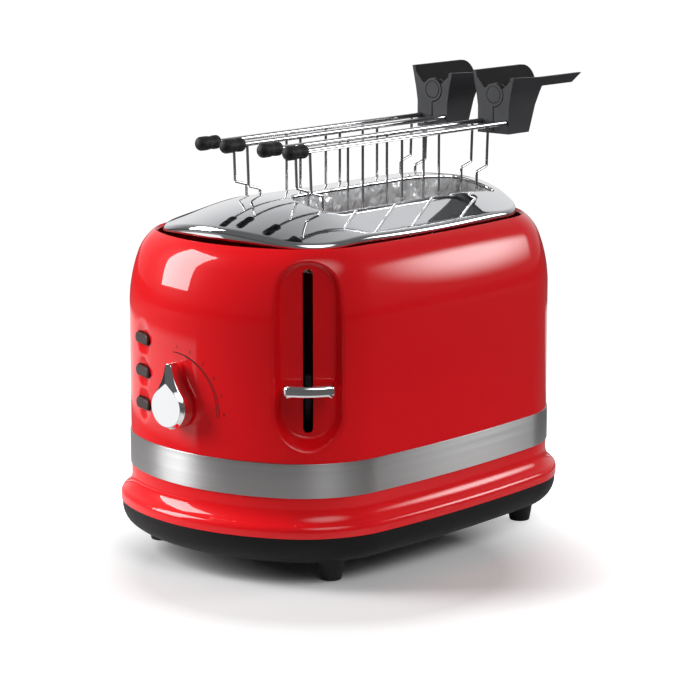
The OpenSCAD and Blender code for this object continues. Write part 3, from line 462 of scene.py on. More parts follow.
def keep_flat(piece):
    """Lets large faces rule the shading beside narrow ones."""
    normals = piece.modifiers.new("flat faces", "WEIGHTED_NORMAL")
    normals.keep_sharp = True
    normals.weight = 60


def refined_copy(node, bevel_mm, limit=40):
    """A piece made from a construction node: its triangles merged and its edges rounded."""
    bm = bmesh.new()
    bm.from_mesh(frame["nodes"][node].data)
    bmesh.ops.scale(bm, vec=(1 / MM, 1 / MM, 1 / MM), verts=bm.verts)
    bmesh.ops.remove_doubles(bm, verts=bm.verts, dist=0.002)
    bmesh.ops.dissolve_limit(bm, angle_limit=math.radians(0.5), verts=bm.verts, edges=bm.edges)
    body = next(b for b, members in frame["record"]["behaviour"]["bodies"].items() if node in members)
    piece = add_piece(node + "_finish", bm, body, SLOT_OF[node], [node], sharp=limit)
    add_bevel(piece, bevel_mm, limit)
    return piece


def curve_mesh(curve):
    """The mesh of a curve, which is then removed."""
    drawn = bpy.data.objects.new(curve.name, curve)
    bpy.context.scene.collection.objects.link(drawn)
    mesh = bpy.data.meshes.new_from_object(drawn.evaluated_get(bpy.context.evaluated_depsgraph_get()))
    bpy.data.objects.remove(drawn)
    bpy.data.curves.remove(curve)
    return mesh


def tube_mesh(name, runs):
    """A mesh of round wires: each run is a list of points in millimetres and a radius."""
    curve = bpy.data.curves.new(name, "CURVE")
    curve.dimensions = "3D"
    curve.bevel_depth = MM
    curve.bevel_resolution = 4
    curve.use_fill_caps = True
    for points, radius in runs:
        spline = curve.splines.new("POLY")
        spline.points.add(len(points) - 1)
        for spot, point in zip(spline.points, points):
            spot.co = (*(Vector(point) * MM), 1)
            spot.radius = radius
    return curve_mesh(curve)


def bent(points, r, count=6):
    """A path through points with each corner rounded by a bend radius."""
    points = [Vector(p) for p in points]
    path = [points[0]]
    for before, corner, after in zip(points, points[1:], points[2:]):
        into, away = (before - corner).normalized(), (after - corner).normalized()
        half = into.angle(away) / 2
        reach = r / math.tan(half)
        middle = corner + (into + away).normalized() * (r / math.sin(half))
        start, end = corner + into * reach, corner + away * reach
        for i in range(count + 1):
            arm = (start - middle).slerp(end - middle, i / count)
            path.append(middle + arm)
    path.append(points[-1])
    return path


# Finishes

def set_inputs(node, values):
    """Sets the plain values of a shader node's inputs."""
    for key, value in values.items():
        node.inputs[key].default_value = value


def operation(nodes, kind, name):
    """A Math or VectorMath node with its operation."""
    node = nodes.new("ShaderNode" + kind)
    node.operation = name
    return node


def direction(azimuth, rise):
    """Unit vector of an azimuth and a height angle in degrees."""
    turn, lift = math.radians(azimuth), math.radians(rise)
    return Vector((math.cos(turn) * math.cos(lift), math.sin(turn) * math.cos(lift), math.sin(lift)))


def grain_group():
    """Shader group: slow and fine noise for tone, roughness and relief."""
    group = bpy.data.node_groups.get("surface_grain")
    if group:
        return group
    group = bpy.data.node_groups.new("surface_grain", "ShaderNodeTree")
    for name, kind in (("Vector", "NodeSocketVector"), ("Slow Scale", "NodeSocketFloat"),
                       ("Fine Scale", "NodeSocketFloat")):
        group.interface.new_socket(name, in_out="INPUT", socket_type=kind)
    for name in ("Tone", "Height"):
        group.interface.new_socket(name, in_out="OUTPUT", socket_type="NodeSocketFloat")
    nodes, links = group.nodes, group.links
    inlet = nodes.new("NodeGroupInput")
    outlet = nodes.new("NodeGroupOutput")
    for output, scale, detail in (("Tone", "Slow Scale", 3.0), ("Height", "Fine Scale", 2.0)):
        noise = nodes.new("ShaderNodeTexNoise")
        noise.inputs["Detail"].default_value = detail
        links.new(inlet.outputs["Vector"], noise.inputs["Vector"])
        links.new(inlet.outputs[scale], noise.inputs["Scale"])
        links.new(noise.outputs["Fac"], outlet.inputs[output])
    return group


class Finish(NamedTuple):
    """How a finish shines and how its grain runs."""
    metallic: float
    rough: tuple  # lowest and highest roughness
    tone: float  # how far the colour changes either way
    slow: float  # scale of the change of tone and roughness
    fine: float  # scale of the relief
    relief: float = 0.0  # height of the relief in millimetres
    stretch: tuple = (1, 1, 1)
    coat: float = 0.0
    coat_rough: float = 0.0
    specular: float = 0.35
    brushed: float = 0.0  # stretch of the highlight across brushed lines


FINISHES = {
    "red_paint": Finish(0.0, (0.30, 0.36), 0.04, 14, 900, coat=0.7, coat_rough=0.02, specular=0.05),
    "satin_steel": Finish(1.0, (0.30, 0.42), 0.10, 60, 600, 0.004, (0.08, 0.08, 8), brushed=0.92),
    "bright_steel": Finish(1.0, (0.025, 0.05), 0.03, 30, 500),
    "crinkled_steel": Finish(0.6, (0.20, 0.34), 0.06, 60, 110, 3.0, (1, 1, 0.7)),
    "bright_wire": Finish(1.0, (0.09, 0.15), 0.08, 90, 900, 0.001),
    # Chassis sheets: grey darkened as painted shade for the inside seen through the lever slot
    "zinc_steel": Finish(1.0, (0.30, 0.45), 0.15, 40, 400, 0.002),
    "black_plastic": Finish(0.0, (0.45, 0.60), 0.20, 60, 2200, 0.02, specular=0.2),
    "black_rubber": Finish(0.0, (0.50, 0.70), 0.25, 90, 1800, 0.02),
    "handle_plastic": Finish(0.0, (0.38, 0.52), 0.18, 60, 2400, 0.02),
    # Near-black painted shade for the inside of the tong handles
    "black_lining": Finish(0.0, (0.70, 0.85), 0.25, 90, 1800, 0.02),
    "dark_plastic": Finish(0.0, (0.45, 0.60), 0.20, 60, 1800, 0.02),
    # Push buttons: random mottled tone, and a reddish tint that is painted reflection of the red paint
    "dark_satin": Finish(0.3, (0.30, 0.50), 0.75, 420, 900, 0.03, (1, 0.6, 1)),
    "dark_tray": Finish(0.0, (0.35, 0.50), 0.15, 60, 900, 0.004),
    "mica": Finish(0.0, (0.40, 0.60), 0.25, 160, 900, 0.01, (1, 1, 0.5)),
    "heater_alloy": Finish(1.0, (0.35, 0.55), 0.20, 120, 900, 0.002),
    "copper_winding": Finish(1.0, (0.25, 0.45), 0.25, 900, 1600, 0.05, (0.05, 0.05, 1)),
    "green_board": Finish(0.0, (0.30, 0.50), 0.25, 200, 900, 0.004, coat=0.3, coat_rough=0.1),
    "dial_print": Finish(0.0, (0.45, 0.60), 0.10, 200, 900),
}


def finish(name):
    """The material of a finish, made at its first use."""
    material = bpy.data.materials.get(name + "_finish")
    if material:
        return material
    look = FINISHES[name]
    base = tuple(getattr(bpy.context.scene.toaster_finish, name))[:3]
    material = bpy.data.materials.new(name + "_finish")
    material.use_nodes = True
    nodes, links = material.node_tree.nodes, material.node_tree.links
    shader = nodes["Principled BSDF"]
    set_inputs(shader, {
        "Metallic": look.metallic, "Specular IOR Level": look.specular, "Anisotropic": look.brushed,
        "Anisotropic Rotation": 0.25, "Coat Weight": look.coat, "Coat Roughness": look.coat_rough})
    place = nodes.new("ShaderNodeTexCoord")
    mapping = nodes.new("ShaderNodeMapping")
    mapping.inputs["Scale"].default_value = look.stretch
    grain = nodes.new("ShaderNodeGroup")
    grain.node_tree = grain_group()
    set_inputs(grain, {"Slow Scale": look.slow, "Fine Scale": look.fine})
    links.new(place.outputs["Object"], mapping.inputs["Vector"])
    links.new(mapping.outputs["Vector"], grain.inputs["Vector"])
    tone = nodes.new("ShaderNodeMix")
    tone.data_type = "RGBA"
    for key, share in (("A", 1 - look.tone), ("B", 1 + look.tone)):
        tone.inputs[key].default_value = (*(min(1, value * share) for value in base), 1)
    rough = nodes.new("ShaderNodeMapRange")
    set_inputs(rough, {"To Min": look.rough[0], "To Max": look.rough[1]})
    links.new(grain.outputs["Tone"], tone.inputs["Factor"])
    links.new(grain.outputs["Tone"], rough.inputs["Value"])
    links.new(tone.outputs["Result"], shader.inputs["Base Color"])
    links.new(rough.outputs["Result"], shader.inputs["Roughness"])
    if look.relief:
        bump = nodes.new("ShaderNodeBump")
        set_inputs(bump, {"Strength": 1.0, "Distance": look.relief * MM})
        links.new(grain.outputs["Height"], bump.inputs["Height"])
        links.new(bump.outputs["Normal"], shader.inputs["Normal"])
    return material


# Pieces

class PieceOperator:
    """What the piece operators share."""
    bl_options = {"REGISTER", "UNDO"}


class TOASTER_OT_shell(PieceOperator, bpy.types.Operator):
    """Painted shell with its skirt, lever recess, button hollows and holes"""
    bl_idname = "toaster.shell"
    bl_label = "Painted Shell"

    # Lean of the wall where the shoulder's two radii meet, and of the lip where it meets its fillet
    SHOULDER_LEAN = math.atan2(0.352, 0.936)
    LIP_LEAN = math.atan2(0.8432, 0.5376)
    # Spacing of the rows: on the upper wall, on the plain wall from PLAIN_Z down, and round the lip
    ROW = 1.05
    PLAIN_ROW = 2.5
    PLAIN_Z = 72
    LIP_ROW = 0.6
    LIP_EDGE_ROW = 1
    # Spacing of the columns up to an angle in degrees, or to the arc's end, by the arc's place in the
    # outline: fine beside the buttons on the control end and round the recess in the lever corner
    FINE = 0.8
    COLUMNS = {
        2: ((None, 7),),
        4: ((153.5, 2), (165, FINE), (203, 3), (None, FINE)),
        5: ((249, FINE), (None, 2.5)),
        6: ((None, 7),)}
    OTHER_COLUMNS = ((None, 3.2),)
    # Recess: share of its depth from which points belong to the corner, spread of its flared wall, and how
    # far its floor and rim, and the hollows of the buttons, are rounded
    CORNER_FROM = 0.6
    FLARE = 0.48
    FLOOR_ROUND = 2.2
    RIM_ROUND = 3.0
    DISH_ROUND = 0.5
    # Holes: how far behind the recess's floor the lever slot is cut, the gap round a button, the hole of the
    # knob's shaft, where the control end starts, and the rounding of every edge
    SLOT_BEHIND = 3
    BUTTON_GAP = 0.5
    SHAFT_HOLE_R = 3.5
    END_X = -80
    EDGE_R = 0.5

    def section(self, b):
        """Section from the rim down to the skirt's edge, as (out, z) points."""
        shoulder, lip = self.SHOULDER_LEAN, self.LIP_LEAN
        shoulder_c = Vector((-b.shoulder_r, b.shoulder_z))
        rim_c = shoulder_c + (b.shoulder_r - b.rim_r) * Vector((math.cos(shoulder), math.sin(shoulder)))
        to_fillet = (b.lip_r + b.lip_fillet) * Vector((math.cos(lip), math.sin(lip)))
        lip_c = Vector((b.lip_fillet - to_fillet.x, b.skirt_z + b.lip_h))
        fillet_c = lip_c + to_fillet
        skirt_x = lip_c.x + b.lip_r
        return (arc_points(rim_c, b.rim_r, b.rim_lean, shoulder, self.ROW)
                + arc_points(shoulder_c, b.shoulder_r, shoulder, 0, self.ROW)
                + line_points((0, b.shoulder_z), (0, self.PLAIN_Z), self.ROW)
                + line_points((0, self.PLAIN_Z), (0, fillet_c.y), self.PLAIN_ROW)
                + arc_points(fillet_c, b.lip_fillet, math.pi, math.pi + lip, self.LIP_ROW)
                + arc_points(lip_c, b.lip_r, lip, 0, self.LIP_ROW)
                + line_points((skirt_x, lip_c.y), (skirt_x, b.skirt_z), self.LIP_EDGE_ROW)
                + [(skirt_x, b.skirt_z)])

    def stretches(self, index, start, end):
        """Fine columns round the buttons and the recess, wide ones elsewhere."""
        found = []
        for degrees, step in self.COLUMNS.get(index, self.OTHER_COLUMNS):
            stop = end if degrees is None else math.radians(degrees)
            found.append((start, stop, step))
            start = stop
        return found

    def press_recess(self, bm, outline, c):
        """Sinks the flared lever recess into the corner."""
        out = Vector((math.cos(c.lever_turn), math.sin(c.lever_turn)))
        across = Vector((-out.y, out.x))
        for vert in bm.verts:
            arm = vert.co.xy - outline.lever_c
            depth = arm.dot(out)
            if depth < c.floor_r * self.CORNER_FROM:
                continue
            spread = stadium_distance(arm.dot(across), vert.co.z, c.recess_r, c.recess_low, c.recess_top)
            cone = smooth_max(c.floor_r, c.floor_r + spread / self.FLARE, self.FLOOR_ROUND)
            move = smooth_min(depth, cone, self.RIM_ROUND) - depth
            vert.co.x += move * out.x
            vert.co.y += move * out.y

    def press_dishes(self, bm, outline, c):
        """Sinks a shallow round hollow at each button."""
        turn = math.asin(c.button_y / outline.end_r)
        out = Vector((-math.cos(turn), math.sin(turn), 0))
        for i in range(len(BUTTONS)):
            middle = (Vector((-outline.end_x, 0, c.button_z + i * c.button_pitch))
                      + out * (outline.end_r + c.dish_r - c.dish_d))
            for vert in bm.verts:
                into = c.dish_r - (vert.co - middle).length
                if into > -self.DISH_ROUND:
                    vert.co -= out * smooth_max(0, into, self.DISH_ROUND)

    def execute(self, context):
        body, c = sizes("body"), sizes("controls")
        outline = Outline(body)
        bm = bmesh.new()
        sweep(bm, outline, self.section(body), False, self.stretches)
        self.press_recess(bm, outline, c)
        self.press_dishes(bm, outline, c)
        out = Vector((math.cos(c.lever_turn), math.sin(c.lever_turn)))

        def lever_slot(co):
            arm = co.xy - outline.lever_c
            if arm.dot(out) < c.floor_r - self.SLOT_BEHIND:
                return None
            across = arm.x * out.y - arm.y * out.x
            return stadium_distance(across, co.z, c.slot_half, c.slot_low, c.slot_top)

        def button_hole(z):
            half = c.button_h / 2 + self.BUTTON_GAP
            reach = (c.button_w - c.button_h) / 2

            def distance(co):
                if co.x > self.END_X:
                    return None
                return stadium_distance(co.z - z, co.y - c.button_y, half, -reach, reach)
            return distance

        def shaft_hole(co):
            if co.x > self.END_X:
                return None
            return math.hypot(co.y - c.knob_y, co.z - c.knob_z) - self.SHAFT_HOLE_R

        cut_hole(bm, lever_slot)
        for i in range(len(BUTTONS)):
            cut_hole(bm, button_hole(c.button_z + i * c.button_pitch))
        cut_hole(bm, shaft_hole)
        piece = add_piece("painted_shell", bm, "body", "red_paint", ["outer_shell"])
        add_sheet(piece, body.wall_t)
        add_bevel(piece, self.EDGE_R, limit=60)
        return {"FINISHED"}


class TOASTER_OT_band(PieceOperator, bpy.types.Operator):
    """Satin steel band round the waist"""
    bl_idname = "toaster.band"
    bl_label = "Waist Band"

    # Chamfer of the band's edges, its gap from the wall, and the spacing of its columns
    EDGE = 0.2
    WALL_GAP = 0.05
    COLUMN = 3

    def execute(self, context):
        low, high = BAND_LOW.z, BAND_HIGH.z
        inner, outer, edge = self.WALL_GAP, BAND_OUT, self.EDGE
        section = [(inner, low), (outer - edge, low), (outer, low + edge), (outer, high - edge),
                   (outer - edge, high), (inner, high)]
        bm = bmesh.new()
        sweep(bm, Outline(sizes("body")), section, True,
              lambda index, start, end: [(start, end, self.COLUMN)])
        piece = add_piece("waist_band", bm, "body", "satin_steel", ["trim_band"], sharp=60)
        keep_flat(piece)
        return {"FINISHED"}


class TOASTER_OT_base(PieceOperator, bpy.types.Operator):
    """Black base, tapered feet and crumb tray"""
    bl_idname = "toaster.base"
    bl_label = "Base"

    EDGE_R = 0.4
    # Radius of a foot on the table and under the base, and its rounded edge
    FOOT_R = (6, 8)
    FOOT_EDGE = 0.8

    def execute(self, context):
        refined_copy("base_pan", self.EDGE_R)
        refined_copy("crumb_tray", self.EDGE_R)
        low, high = box_mm("feet")
        (low_r, high_r), edge = self.FOOT_R, self.FOOT_EDGE
        height = high.z - low.z
        section = [(0, 0), (0, low_r - edge), (edge * 0.3, low_r - edge * 0.3), (edge, low_r),
                   (height, high_r), (height, 0)]
        bm = bmesh.new()
        for x in (low.x + high_r, high.x - high_r):
            for y in (low.y + high_r, high.y - high_r):
                lathe(bm, section, (x, y, low.z), UP, (1, 0, 0))
        piece = add_piece("rubber_feet", bm, "body", "black_rubber", ["feet"], sharp=50)
        keep_flat(piece)
        return {"FINISHED"}


class TOASTER_OT_plate(PieceOperator, bpy.types.Operator):
    """Domed bright top plate and the liners of its slots"""
    bl_idname = "toaster.plate"
    bl_label = "Top Plate"

    SHEET_T = 0.7
    # Rounding of the slots' edges and how far they turn down, and where the rim's edge ends
    EDGE_R = 0.9
    SLOT_EDGE = 1
    RIM_Z = SHELL_HIGH.z - 4
    # Rings of the plan in from the rim and out from a slot, the grid between, and the points' spacing
    RINGS = (0, 0.03, 0.12, 0.27, 0.5, 0.8, 1.2, 1.7, 2.3, 3, 4, 5.5, 7.5, 10)
    SLOT_RINGS = (0, 0.12, 0.4, 0.8, 1.3, 2.2, 3.6)
    GRID = 4.0
    RIM_STEP = 2.6
    SLOT_STEP = 2.0
    CORNER_STEPS = 8
    # Free width on either side of the middle line between the slots' rings
    MIDDLE_GAP = 0.3
    # Top of a liner under the dome, and how far its face stands back from the slot's edge
    LINER_UNDER = 1.7
    LINER_BACK = 0.25

    def slot_ring(self, t, side, grow):
        """Plan of a slot grown by a distance, with round corners."""
        y_mid = side * t.slot_y
        half = t.slot_w / 2 + grow
        square = (t.slot_x1 + grow, t.square_r + grow)
        rounded = (t.slot_x0 - grow, t.round_r + grow)
        corners = ((square, half, 0), (rounded, half, 90), (rounded, -half, 180), (square, -half, 270))
        spots = []
        for (x, r), y, turn in corners:
            centre = (x - math.copysign(r, x), y_mid + y - math.copysign(r, y))
            steps = max(self.CORNER_STEPS, round(r * math.pi / 2 / self.SLOT_STEP))
            for i in range(steps + 1):
                a = math.radians(turn) + math.pi / 2 * i / steps
                spots.append((centre[0] + r * math.cos(a), centre[1] + r * math.sin(a)))
        path = []
        for start, end in zip(spots, spots[1:] + spots[:1]):
            path += line_points(start, end, self.SLOT_STEP)
        return path

    def slot_distance(self, t, x, y):
        """Distance of a plan point out from the nearer slot."""
        y = abs(y) - t.slot_y
        middle = (t.slot_x0 + t.slot_x1) / 2
        r = t.round_r if x < middle else t.square_r
        dx = max((t.slot_x0 + r - x) if x < middle else (x - t.slot_x1 + r), -r)
        dy = abs(y) - t.slot_w / 2 + r
        return math.hypot(max(dx, 0), max(dy, 0)) + min(max(dx, dy), 0) - r

    def dome(self, t, x, y):
        """Height of the dome without its edges."""
        round_y, slope_y = min(abs(y), t.crown_half), max(abs(y) - t.crown_half, 0)
        across = round_y ** 2 / (2 * t.crown_r) + slope_y * t.crown_half / t.crown_r
        start, r = (t.handle_end_x, t.handle_end_r) if x > 0 else (t.lever_end_x, t.lever_end_r)
        return t.crown_z - across - max(abs(x) - start, 0) ** 2 / (2 * r)

    def height(self, t, outline, x, y):
        """Height of the plate's upper face."""
        outward = max(t.roll_r + t.edge_in + outline.offset(x, y), 0)
        z = self.dome(t, x, y) - t.roll_r + math.sqrt(max(t.roll_r ** 2 - outward ** 2, 0))
        beside = max(self.EDGE_R - max(self.slot_distance(t, x, y), 0), 0)
        return z - self.EDGE_R + math.sqrt(max(self.EDGE_R ** 2 - beside ** 2, 0))

    def plan(self, t, outline):
        """Vertices and edges of the plan: rings along the rim and the slots, a grid between."""
        points, edges = [], []

        def add_ring(ring, tied):
            first = len(points)
            points.extend(Vector(p[:2]) for p in ring)
            if tied:
                count = len(ring)
                edges.extend((first + i, first + (i + 1) % count) for i in range(count))

        for inward in self.RINGS:
            add_ring(outline.ring(-t.edge_in - inward, self.RIM_STEP), inward == 0)
        for side in SIDES.values():
            for grow in self.SLOT_RINGS:
                ring = self.slot_ring(t, side, grow)
                if grow > 0:
                    ring = [p for p in ring if abs(p[1]) > self.MIDDLE_GAP]
                add_ring(ring, grow == 0)
        in_rim = t.edge_in + self.RINGS[-1] + self.GRID / 2
        off_slot = self.SLOT_RINGS[-1] + self.GRID / 3
        cells = round(outline.half_len / self.GRID)
        for i in range(-cells, cells + 1):
            for j in range(-cells, cells + 1):
                x, y = i * self.GRID, j * self.GRID
                if outline.offset(x, y) < -in_rim and self.slot_distance(t, x, y) > off_slot:
                    points.append(Vector((x, y)))
        return points, edges

    def execute(self, context):
        t = sizes("top")
        outline = Outline(sizes("body"))
        points, edges = self.plan(t, outline)
        verts, _, faces, *_ = delaunay_2d_cdt(points, edges, [], 0, 1e-5)
        bm = bmesh.new()
        made = [bm.verts.new((x, y, self.height(t, outline, x, y))) for x, y in verts]
        for face in faces:
            middle = sum((verts[i] for i in face), Vector((0, 0))) / len(face)
            on_plate = outline.offset(*middle) < -t.edge_in and self.slot_distance(t, *middle) > 0
            if on_plate:
                bm.faces.new([made[i] for i in face])
        bmesh.ops.delete(bm, geom=[v for v in bm.verts if not v.link_faces], context="VERTS")
        bmesh.ops.recalc_face_normals(bm, faces=bm.faces)
        if sum(face.normal.z for face in bm.faces) < 0:
            bmesh.ops.reverse_faces(bm, faces=bm.faces)
        border = [edge for edge in bm.edges if edge.is_boundary]
        down = bmesh.ops.extrude_edge_only(bm, edges=border)["geom"]
        for vert in (item for item in down if isinstance(item, bmesh.types.BMVert)):
            at_rim = outline.offset(vert.co.x, vert.co.y) > -t.edge_in - 1
            vert.co.z = self.RIM_Z if at_rim else vert.co.z - self.SLOT_EDGE
        piece = add_piece("domed_plate", bm, "body", "bright_steel", ["top_plate"], sharp=60)
        add_sheet(piece, self.SHEET_T)
        for side_name, side in SIDES.items():
            self.liner(t, side_name, side)
        return {"FINISHED"}

    def liner(self, t, side_name, side):
        """Bright wall round a slot, from under the plate's edge down."""
        inner = self.slot_ring(t, side, self.LINER_BACK)
        outer = self.slot_ring(t, side, LINER_T)
        low = t.crown_z - t.liner_d
        rings = [[(x, y, low) for x, y in ring] for ring in (outer, inner)]
        rings += [[(x, y, self.dome(t, x, y) - self.LINER_UNDER) for x, y in ring] for ring in (inner, outer)]
        bm = bmesh.new()
        loft(bm, rings + rings[:1], capped=False)
        bmesh.ops.remove_doubles(bm, verts=bm.verts, dist=0.001)
        bmesh.ops.recalc_face_normals(bm, faces=bm.faces)
        add_piece(side_name + "_liner", bm, "body", "bright_steel", [side_name + "_slot_liner"], sharp=40,
                  material=finish("crinkled_steel"))


class TOASTER_OT_lever(PieceOperator, bpy.types.Operator):
    """Bright bar of the lever"""
    bl_idname = "toaster.lever"
    bl_label = "Lever"

    # Radius and steps of the bar's upright corners and of its long edges, and half the steps of its nose
    CORNER = (2.6, 6)
    EDGE = (2.2, 5)
    NOSE_STEPS = 8
    STEM_EDGE_R = 0.3

    def execute(self, context):
        c = sizes("controls")
        outline = Outline(sizes("body"))
        half = c.lever_w / 2
        nose_c = c.lever_out - c.nose_r
        turn = math.asin(half / c.nose_r)
        bow = [turn * (i / self.NOSE_STEPS - 1) for i in range(2 * self.NOSE_STEPS + 1)]
        nose = [(nose_c + c.nose_r * math.cos(a), c.nose_r * math.sin(a)) for a in bow]
        bm = bmesh.new()
        face = bm.faces.new([bm.verts.new((x, y, -c.lever_h / 2))
                             for x, y in [(c.lever_in, -half)] + nose + [(c.lever_in, half)]])
        made = bmesh.ops.extrude_face_region(bm, geom=[face])["geom"]
        upper = [item for item in made if isinstance(item, bmesh.types.BMVert)]
        bmesh.ops.translate(bm, vec=(0, 0, c.lever_h), verts=upper)
        bmesh.ops.recalc_face_normals(bm, faces=bm.faces)

        def rise(edge):
            return abs(edge.verts[0].co.z - edge.verts[1].co.z)

        corners = [e for e in bm.edges if rise(e) > 1 and abs(abs(e.verts[0].co.y) - half) < 0.01]
        round_edges(bm, corners, *self.CORNER)
        round_edges(bm, [e for e in bm.edges if rise(e) < 0.01 and e.calc_face_angle(0) > 1], *self.EDGE)
        to_corner = Matrix.Translation((*outline.lever_c, c.lever_z)) @ Matrix.Rotation(c.lever_turn, 4, "Z")
        bmesh.ops.transform(bm, matrix=to_corner, verts=bm.verts)
        piece = add_piece("lever_bar", bm, "carriage", "bright_steel", ["lever_handle"], sharp=50)
        keep_flat(piece)
        refined_copy("lever_stem", self.STEM_EDGE_R)
        return {"FINISHED"}


class TOASTER_OT_knob(PieceOperator, bpy.types.Operator):
    """Browning knob and its printed scale"""
    bl_idname = "toaster.knob"
    bl_label = "Browning Knob"

    FLANK_R = 30
    # Points of the drop outline: on each flank, round the tip and on the round part
    FLANK_STEPS = 12
    TIP_STEPS = 12
    ROUND_STEPS = 36
    # Rings of the cap: place from its back or its face, and inset
    BOSS_H = 1.2
    BACK_RINGS = ((0, 0.9), (-0.2, 0.35), (-0.8, 0.05))
    FRONT_RINGS = ((2.6, 0.12), (2.25, 0.25), (2.0, 0.5))
    # Rings of the face: place from it, inset of the round part, tip radius and place, flank radius
    FACE_RINGS = ((0.3, 1.4, 1.4, 13.0, 120), (0.05, 1.6, 1.3, 12.5, 135), (0, 1.8, 1.2, 12.0, 150))
    # Printed scale: radius, middle from the knob's axis, ends in degrees, line width and wedge height
    SCALE_R = 31.2
    SCALE_MIDDLE = (2.8, -2.1)
    SCALE_FROM = -4
    SCALE_TO = 93
    SCALE_STEPS = 72
    LINE = 0.4
    WEDGE = 1.6
    # Printed numbers: how many, ends in degrees, distance from the scale and height; height of the print
    NUMBERS = 6
    NUMBERS_FROM = 2
    NUMBERS_TO = 89
    NUMBERS_OUT = 3.2
    NUMBER_H = 2.8
    PRINT_OUT = 0.06

    def drop(self, r, tip_r, tip_y, flank_r):
        """Drop outline with hollow flanks, as (across, up) points: right flank, tip, left flank, round."""
        near, far = r + flank_r, tip_r + flank_r
        along = (near * near - far * far + tip_y * tip_y) / (2 * tip_y)
        out = math.sqrt(near * near - along * along)
        low = math.atan2(along, out)
        high = math.atan2(along - tip_y, out)

        def arc(centre, radius, start, end, count):
            return arc_points(centre, radius, start, end, radius * abs(end - start) / count)

        return (arc((out, along), flank_r, math.pi + low, math.pi + high, self.FLANK_STEPS)
                + arc((0, tip_y), tip_r, high, math.pi - high, self.TIP_STEPS)
                + arc((-out, along), flank_r, -high, -low, self.FLANK_STEPS)
                + arc((0, 0), r, math.pi - low, 2 * math.pi + low, self.ROUND_STEPS))

    def execute(self, context):
        c = sizes("controls")
        outline = Outline(sizes("body"))
        tip_y = c.knob_reach - c.knob_tip_r

        def ring(x, points):
            return [(x, c.knob_y - across, c.knob_z + up) for across, up in points]

        def inset(by):
            return self.drop(c.knob_r - by, c.knob_tip_r - by, tip_y, self.FLANK_R + by)

        boss = [tuple(Vector(point).normalized() * c.boss_r) for point in inset(0)]
        cap_back = c.knob_back_x - self.BOSS_H
        rings = [ring(c.knob_back_x, boss), ring(cap_back, boss)]
        for start, layers in ((cap_back, self.BACK_RINGS), (c.knob_face_x, self.FRONT_RINGS)):
            rings += [ring(start + along, inset(by)) for along, by in layers]
        for along, by, tip_r, tip_up, flank_r in self.FACE_RINGS:
            rings.append(ring(c.knob_face_x + along, self.drop(c.knob_r - by, tip_r, tip_up, flank_r)))
        bm = bmesh.new()
        loft(bm, rings)
        piece = add_piece("pointer_knob", bm, "knob", "bright_steel", ["browning_knob"], sharp=35)
        keep_flat(piece)
        self.print_scale(c, outline)
        return {"FINISHED"}

    def print_scale(self, c, outline):
        """Wedge scale and plain numbers printed on the end wall."""
        bm = bmesh.new()

        def spot(r, degrees):
            turn = math.radians(degrees)
            return (r * math.sin(turn), r * math.cos(turn))

        for wedge in (0, self.WEDGE):
            rows = []
            for i in range(self.SCALE_STEPS + 1):
                share = i / self.SCALE_STEPS
                at = self.SCALE_FROM + (self.SCALE_TO - self.SCALE_FROM) * share
                rows.append([bm.verts.new((*spot(self.SCALE_R - wedge * share + edge, at), 0))
                             for edge in (-self.LINE / 2, self.LINE / 2)])
            for (a, b), (d, e) in zip(rows, rows[1:]):
                bm.faces.new((a, b, e, d))
        for i in range(self.NUMBERS):
            at = self.NUMBERS_FROM + (self.NUMBERS_TO - self.NUMBERS_FROM) * i / (self.NUMBERS - 1)
            self.number(bm, str(i + 1), *spot(self.SCALE_R + self.NUMBERS_OUT, at))
        middle_y, middle_z = c.knob_y + self.SCALE_MIDDLE[0], c.knob_z + self.SCALE_MIDDLE[1]
        for vert in bm.verts:
            vert.co = outline.end_point(middle_y - vert.co.x, middle_z + vert.co.y, self.PRINT_OUT)
        bmesh.ops.recalc_face_normals(bm, faces=bm.faces)
        for face in bm.faces:
            if face.normal.x > 0:
                face.normal_flip()
        add_piece("dial_print", bm, "body", "dark_plastic", material=finish("dial_print"))

    def number(self, bm, text, across, up):
        """Adds a number to the flat print, drawn about a place."""
        curve = bpy.data.curves.new("number", "FONT")
        curve.body = text
        curve.size = self.NUMBER_H
        curve.align_x = "CENTER"
        curve.align_y = "CENTER"
        curve.resolution_u = 4
        mesh = curve_mesh(curve)
        mesh.transform(Matrix.Translation((across, up, 0)))
        bm.from_mesh(mesh)
        bpy.data.meshes.remove(mesh)


class TOASTER_OT_buttons(PieceOperator, bpy.types.Operator):
    """Three push buttons that follow the end wall"""
    bl_idname = "toaster.buttons"
    bl_label = "Push Buttons"

    # Rings of a button's rounded face: inset, and place from the stand
    LAYERS = ((0, -0.9), (0.12, -0.5), (0.4, -0.22), (0.85, -0.08), (1.5, -0.02))
    ROUND_STEPS = 16

    def execute(self, context):
        c = sizes("controls")
        outline = Outline(sizes("body"))
        half = c.button_h / 2
        reach = c.button_w / 2 - half

        def stadium(z_mid, inset):
            r = half - inset
            step = r * math.pi / self.ROUND_STEPS
            right = arc_points((reach, 0), r, -math.pi / 2, math.pi / 2, step)
            left = arc_points((-reach, 0), r, math.pi / 2, math.pi * 1.5, step)
            return [(c.button_y + across, z_mid + up)
                    for across, up in right + [(reach, r)] + left + [(-reach, -r)]]

        for i, name in enumerate(BUTTONS):
            z_mid = c.button_z + i * c.button_pitch
            rings = [[(c.button_in_x, y, z) for y, z in stadium(z_mid, 0)]]
            for inset, out in self.LAYERS:
                r = outline.end_r + c.button_out + out
                rings.append([(-outline.end_x - math.sqrt(r * r - y * y), y, z)
                              for y, z in stadium(z_mid, inset)])
            bm = bmesh.new()
            loft(bm, rings)
            piece = add_piece(name + "_key", bm, name, "dark_satin", [name + "_button"], sharp=50)
            keep_flat(piece)
        return {"FINISHED"}


